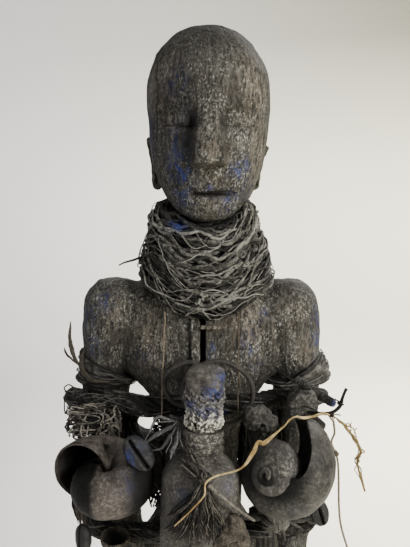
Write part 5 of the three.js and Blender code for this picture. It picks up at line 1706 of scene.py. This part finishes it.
leaves = {
    # the line of each blade's rib, its half width, seed, fold and tint
    "leafBlade": [
        ([(-85, -17, 378), (-89, -21, 387), (-91.5, -22, 396), (-92.5, -20, 404), (-91.5, -20, 414)], 1.7,
         161, 0.5, 0.45),
        ([(-87, -25, 384), (-91, -25, 388), (-95, -24, 392.5), (-95.6, -24, 396)], 0.9, 162, 0.5, 0.3),
        ([(-83.5, -19, 392), (-84.5, -21, 381), (-77, -26.5, 373.5), (-62, -28, 372)], 1.9, 178, 0.3, 0.35),
    ],
    "leafScraps": [
        ([(-14, -70, 357), (-21, -72, 359.5), (-28, -74, 361), (-36, -76, 345)], 1.0, 164, 0.9, 0.55),
        ([(-15, -70, 357), (-23, -74, 353), (-30, -77, 349.5), (-37, -76, 344)], 1.5, 165, 0.9, 0.35),
        ([(-15, -71, 354), (-20, -76, 349), (-25, -79, 343), (-31, -80, 342)], 1.1, 166, 0.9, 0.2),
        ([(-14, -71, 355), (-15, -77, 348), (-18, -80, 341), (-19, -80.5, 336)], 1.3, 167, 0.9, 0.6),
    ],
    "leafBundle": [
        ([(-77, -48, 310), (-84, -46.5, 296), (-85, -46, 286), (-82, -45, 271)], 1.7, 168, 0.5, 0.5),
        ([(-76, -50, 309), (-80.5, -47, 295), (-80, -46.5, 286), (-80, -46, 271)], 1.5, 169, 0.5, 0.25),
        ([(-78, -48, 306), (-82.5, -48, 296), (-83, -47.5, 288), (-81, -46.5, 277)], 1.2, 170, 0.5, 0.7),
        ([(-82, -52, 305), (-86, -51, 297), (-86.5, -50, 289), (-84, -48, 278)], 1.5, 176, 0.5, 0.1),
        ([(-80, -54, 302), (-83.5, -54, 294), (-84, -52, 286), (-82, -50, 279)], 1.3, 177, 0.5, 0.4),
    ],
    # thin stems from one place, over the scraps
    "stemFoot": (-14, -70, 358),
    "stemTips": [(-30, -72, 358), (-31, -76, 348), (-22, -79, 340), (-26, -76, 352), (-17, -79, 338),
                 (-11, -80, 344)],
    "stick": [(-20, -68, 361), (-15, -69.5, 359.5), (-9, -71, 361)],
}
chestTwines = [
    ("leftChestTwine", "left_chest_twine", 0.75,
     [(-24, -40.5, 424), (-25, -39, 404), (-26, -44, 378), (-26, -50, 352)]),
    ("rightChestTwine", "right_chest_twine", 0.35,
     [(25.6, -40.5, 424), (25.6, -40.5, 404), (25.5, -46, 378), (25, -50, 356)]),
]
sticks = {
    "neckSplinter": [(-40, -14, 459), (-48, -18, 456.6), (-53, -20.5, 455.4), (-57, -22, 453.6)],
    "tasselStick": [(5, -104.6, 329.5), (12.5, -102.3, 322), (20, -99, 314), (34, -88, 299)],
    # x, y, z and radius
    "knottedTwig": [
        (68, -60, 361, 1.0), (82, -70, 363, 1.2), (89, -70, 367, 1.2), (91, -69, 372, 1.1),
        (92.5, -68.5, 376, 1.0), (94, -68, 379, 1.15),
    ],
}
# x, y, z, half width, and the turn of the flat side in degrees
raffiaRibbon = [
    (-15.5, -107, 305, 0.45, 0), (-6, -108.3, 315, 0.5, 10), (2.3, -109, 325, 0.55, 20),
    (3.2, -108, 332, 0.6, 10), (9, -106.5, 336, 0.6, -10), (24, -107, 341, 0.65, 10),
    (31.6, -107, 351, 1.9, 35), (34.5, -106.4, 357.5, 2.2, 60), (38, -106, 356.4, 1.7, 20),
    (46, -103, 362, 0.7, 0), (56.5, -99, 370, 0.5, 20), (64, -94, 368, 0.8, -30), (78, -82, 366.5, 0.5, 0),
    (82, -76, 364, 0.5, 0),
]
lowerKnot = {
    "rounds": [(52, -52, 283, 8.5, 8.5, 7.5), (44, -50, 290, 5.6, 6.4, 4.8), (38.5, -44, 283.5, 5.5, 6, 5)],
    "wraps": 9,
    "strips": [
        [(50, -52, 288), (62, -54, 287), (76, -48, 289), (86, -42, 291)],
        [(54, -54, 284), (66, -54, 282), (78, -46, 281)],
        [(52, -50, 280), (56, -46, 273), (59, -43, 264)],
        [(48, -56, 290), (60, -57, 283), (70, -54, 276)],
        [(46, -55, 292), (56, -58, 291), (74, -50, 292)],
    ],
    # x and lower end of the dark strips that hang from the rope before the thigh
    "hanging": [(40.5, 246), (44, 241), (47.5, 247), (51, 243)],
}
cup = {
    "place": (-59.1, -47.5, 268.4), "tip": 14,
    # radius and height: the outside up to the rim, then the inside down to its bottom
    "profile": [
        (0.3, -13), (4, -12.4), (7, -11), (9, -7.5), (10, -4), (10.5, -1), (10.2, 0.2), (9.4, 0.4),
        (9, -0.8), (8.6, -4), (7.6, -7), (5.6, -9), (0.3, -10.6),
    ],
}


def addTangle():
    # Curly roots: every strand is a sum of slow waves, held inside a lens-shaped room.
    dice = np.random.default_rng(111)
    count, room = tangle["count"], np.array(tangle["room"])
    t = np.linspace(0, 1, 60)[None, :, None]
    path = np.array([-73, -35, 346]) + dice.normal(size=(count, 1, 3)) * [6, 2.2, 4]
    for k in (0.6, 1.3, 2.4):
        reach = dice.normal(size=(count, 1, 3)) * [7.5 / k, 3.0 / k, 5.0 / k]
        path = path + reach * np.sin(2 * np.pi * k * t + dice.uniform(0, 6, (count, 1, 3)))
    path = tangle["middle"] + room * np.tanh((path - tangle["middle"]) / room)
    bundles = [strands(path, dice.uniform(0.3, 0.65, (count, 1)), dice.uniform(0.0, 1.25, count), 6)]
    for k, loop in enumerate(tangle["loops"]):
        line = through(loop, 50)
        for shift in range(3):
            bent = line + (0.5 + 0.6 * shift) * drift(line, 9, 120 + 5 * k + shift)
            bundles.append(strands(bent, 0.6 - 0.1 * shift, 0.3 + 0.25 * shift, 6))
    hooks = np.array([through(hook, 40) for hook in tangle["hooks"]])
    bundles.append(strands(hooks, 0.5, [0.1, 0.2, 0.3, 0.1], 6))
    # a dark ball in the middle is painted shade inside the tangle
    heart = ball(*tangle["heart"])
    bundles.append(tinted(moved(heart, 0.8 * waves(heart[0], 6, 131, 3)), -0.4))
    surface, tints = gathered(bundles)
    addPiece("rootTangle", surface, rootMaterial, ["left_root_tangle"], {"tint": tints})


def addTassel():
    # Roots from one knot spread down the bottle's front and end unevenly, kept just off the glass.
    dice = np.random.default_rng(141)
    count, top = tassel["count"], tassel["topZ"]

    def column(low, high):
        return dice.uniform(low, high, (count, 1))

    t = np.linspace(0, 1, 40)[None]
    spread = column(-1, 1)
    low = column(*tassel["lowZ"])
    x = 3 + (spread * tassel["halfSpread"] - 5.5) * t**1.15
    x = x + column(0.6, 2.6) * np.sin(column(4, 14) * t + column(0, 6)) * t**0.7
    z = top + (low - top) * t + column(0, 2)
    beside = np.minimum(np.abs(x - bottle["x"] - 0.035 * (z - bottle["z"])), 24)
    glass = bottle["y"] - np.sqrt(np.maximum(1, (bottle["radius"] + 0.5) ** 2 - beside**2))
    lift = 0.6 + column(0, 3.6) * np.sin(np.pi * np.clip(t * 0.9 + 0.08, 0, 1)) ** 0.8
    path = np.stack([x, glass - lift, z], -1)
    bundles = [strands(path, column(0.3, 0.8) * (1 - 0.5 * t), dice.uniform(-0.5, 0.7, count), 6)]
    knot = np.array([wound(tassel["knot"], (4.4, 2.6, 3.8), 3.3, 60, 150 + k) for k in range(5)])
    bundles.append(strands(knot, 0.7, dice.uniform(0.1, 0.6, 5), 6))
    # thin roots that cross the shoulder to the upper left and lie over the tassel
    count = tassel["shoulderRoots"]
    starts = np.stack([dice.uniform(-14, -4, count), dice.uniform(-99, -97, count),
                       dice.uniform(330, 346, count)], 1)
    shoulder = np.interp(starts[:, 2], [325, 332, 338], [27.5, 22, 16])
    starts[:, 1] = bottle["y"] - 1 - np.sqrt(np.maximum(1, shoulder**2 - starts[:, 0] ** 2))
    ends = np.stack([dice.uniform(0, 8, count), np.full(count, -101.0), dice.uniform(326, 334, count)], 1)
    thin = looseThreads(starts, ends, 151, 1.3)
    bundles.append(strands(thin, column(0.3, 0.6), dice.uniform(0.2, 1.0, count), 5))
    surface, tints = gathered(bundles)
    surface[0][:, 1] = np.maximum(surface[0][:, 1], tassel["frontY"])
    addPiece("rootTassel", surface, rootMaterial, ["root_tassel"], {"tint": tints})


def blade(rows, width, seed, fold=0.5, count=40):
    # A leaf: a flat ring along a line, widest past its middle and creased along its rib.
    path = through(rows, count)
    t = np.linspace(0, 1, count)
    half = (width * np.sin(np.pi * np.clip(t * 0.92 + 0.06, 0, 1)) ** 0.8)[:, None]
    way = unit(np.gradient(path, axis=0))
    up = np.array([0, 1.0, 0])
    high = unit(up - (way @ up)[:, None] * way)
    side = np.cross(high, way)
    v = np.concatenate([np.linspace(-1, 1, 13), np.linspace(1, -1, 13)[1:-1]])
    thick = np.concatenate([np.full(13, 0.22), np.full(11, -0.22)])
    thick[[0, 12]] = 0
    lift = fold * (np.abs(v) - 0.5) * 1.2
    rings = (path[:, None] + side[:, None] * (half * v)[..., None]
             + high[:, None] * (half * lift * 0.6 + thick)[..., None])
    return moved(tubes(rings), lambda points: points + 0.25 * drift(points, 7, seed))


def addLeafPiece(name, cadNode, material, stems=()):
    bundles = [tinted(blade(rib, width, seed, fold), tint) for rib, width, seed, fold, tint in leaves[name]]
    surface, tints = gathered(bundles + list(stems))
    addPiece(name, surface, material, [cadNode], {"tint": tints})


def addLeaves():
    addLeafPiece("leafBlade", "leaf_blade", bladeMaterial)
    stems = looseThreads([leaves["stemFoot"]] * 6, leaves["stemTips"], 163, 1.0)
    # dark threads fill the gap beside the body as painted shade
    gap = np.stack([np.full(26, -28.5), np.full(26, -17.0), np.linspace(327, 350, 26)], 1)
    addLeafPiece("leafScraps", "leaf_scraps", leafMaterial, [
        strands(stems, 0.3, [0.9, 0.7, 0.8, 0.5, 0.6, 0.7], 5),
        strands(looseThreads(gap, gap + [[-5, 0, 1]], 179, 2.2), 0.55, -0.2, 5),
        strands(through(leaves["stick"], 20), 1.2, 0.1, 8),
    ])
    addLeafPiece("leafBundle", "leaf_bundle", bladeMaterial)


def addThreads():
    for name, cadNode, tint, rows in chestTwines:
        line = through(rows, 70)
        surface, tints = strands(line + 0.25 * drift(line, 9, 171), 0.5, tint, 7)
        addPiece(name, surface, twineMaterial, [cadNode], {"tint": tints})
    surface, tints = strands(through(sticks["neckSplinter"], 30), np.linspace(1.0, 0.5, 30), 0.05, 8)
    addPiece("neckSplinter", surface, rootMaterial, ["neck_splinter"], {"tint": tints})
    surface, tints = strands(through(sticks["tasselStick"], 40), np.linspace(1.3, 0.9, 40), 0.75, 8)
    surface = moved(surface, 0.2 * waves(surface[0], 4, 172, 2))
    addPiece("tasselStick", surface, rootMaterial, ["tassel_stick"], {"tint": tints})


def addTwig():
    stem = through(sticks["knottedTwig"], 60)
    knots = [wound((90.2, -70, 370), (2.1, 1.9, 1.6), 3, 50, 173),
             wound((84, -70.5, 362.5), (1.9, 2.0, 1.9), 3, 50, 174)]
    starts = [(66, -64, 366), (51.5, -40, 385.5), (89.5, -70, 370)]
    ends = [(84, -69, 362), (72, -57, 373), (87, -70, 372.5)]
    surface, tints = gathered([
        strands(stem[:, :3], stem[:, 3], 0.1, 10),
        strands(np.array(knots), 0.55, [0.2, 0.1], 6),
        strands(looseThreads(starts, ends, 175, 0.8), 0.5, [0.2, 0.1, 0.3], 6),
    ])
    addPiece("knottedTwig", surface, rootMaterial, ["knotted_twig"], {"tint": tints - 0.1})


def addRaffiaRibbon():
    # A dried raffia strip: a thin flat ring along its line, turned about the line as it goes.
    line = through(raffiaRibbon, 150)
    path, half, turn = line[:, :3], np.abs(line[:, 3:4]), np.radians(line[:, 4:5])
    way = unit(np.gradient(path, axis=0))
    high = unit(np.array([0, 1.0, 0]) - way[:, 1:2] * way)
    side = np.cross(high, way)
    wide = side * np.cos(turn) + high * np.sin(turn)
    thin = high * np.cos(turn) - side * np.sin(turn)
    a = circle(14)
    crease = 0.35 * np.cos(2 * a)
    rings = path[:, None] + wide[:, None] * (half * np.cos(a))[..., None]
    rings = rings + thin[:, None] * ((0.32 + 0.10 * half) * np.sin(a) + 0.25 * half * crease)[..., None]
    surface = tubes(rings)
    tint = 0.62 + 0.3 * waves(surface[0], 12, 181, 2)
    starts = [(31, -106.5, 352), (46, -103, 362), (60, -97, 369)]
    ends = [(40, -104.5, 356), (56, -99.5, 370.5), (78, -82, 367.5)]
    frays = strands(looseThreads(starts, ends, 182, 0.8), 0.3, [0.9, 0.8, 0.7], 5)
    surface, tints = gathered([(surface, tint), frays])
    addPiece("raffiaRibbon", surface, raffiaMaterial, ["raffia_ribbon"], {"tint": tints})


def addLowerKnot():
    dice = np.random.default_rng(191)
    bundles = [tinted(crusted(lowerKnot["rounds"], 0.9, 192, 0.8, 0.3), 0.15)]
    for k, rows in enumerate(lowerKnot["strips"]):
        bundles.append(tinted(blade(rows, 1.7 - 0.2 * k, 193 + k, 0.8), -0.1 + 0.11 * k))
    for k, (x, low) in enumerate(lowerKnot["hanging"]):
        rows = [(x, -43, 270), (x + 0.6, -41.5, 258), (x - 0.5, -40, low)]
        bundles.append(tinted(blade(rows, 2.3, 220 + k, 0.6), -0.15 + 0.1 * k))
    count = lowerKnot["wraps"]
    wraps = np.array([wound((51, -53, 283.5), (9.2, 8.6, 8.0), 2.2, 80, 200 + k) for k in range(count)])
    bundles.append(strands(wraps, dice.uniform(0.6, 1.2, (count, 1)), dice.uniform(0.1, 0.8, count), 6))
    surface, tints = gathered(bundles)
    addPiece("lowerKnot", surface, barkMaterial, ["lower_knot"],
             {"tint": tints, "pigment": 0.0})


def addCup():
    # A small turned vessel with a pale worn rim: its profile turned about a line that tips forward.
    profile = denser(cup["profile"], 0.6)
    a = -circle(90)
    x, y, z = profile[:, :1] * np.cos(a), profile[:, :1] * np.sin(a), profile[:, 1:] + 0 * a
    level = np.concatenate([z.ravel(), [cup["profile"][0][1], cup["profile"][-1][1]]])
    z, y = spun(z, y, math.radians(cup["tip"]))
    surface = tubes(np.stack([x, y, z], -1) + cup["place"])
    surface = moved(surface, 0.18 * waves(surface[0], 5, 210, 3))
    # painted shade: the cup darkens below its rim, inside and out
    layers = {"shadeAndDarkTone": np.clip(0.25 + 0.6 * smooth(-1.5, -6, level), 0, 1),
              "dust": 0.5 * bump(level, 0.2, 1.2),
              "pigment": 0.0}
    addPiece("rimmedCup", surface, tanCrustMaterial, ["rimmed_cup"], layers)


rootMaterial = strandMaterial("root", rootLook)
bladeMaterial = strandMaterial("brownLeaf", bladeLook)
leafMaterial = strandMaterial("paleLeaf", leafLook)
addTangle()
addTassel()
addLeaves()
addThreads()
addTwig()
addRaffiaRibbon()
addLowerKnot()
addCup()
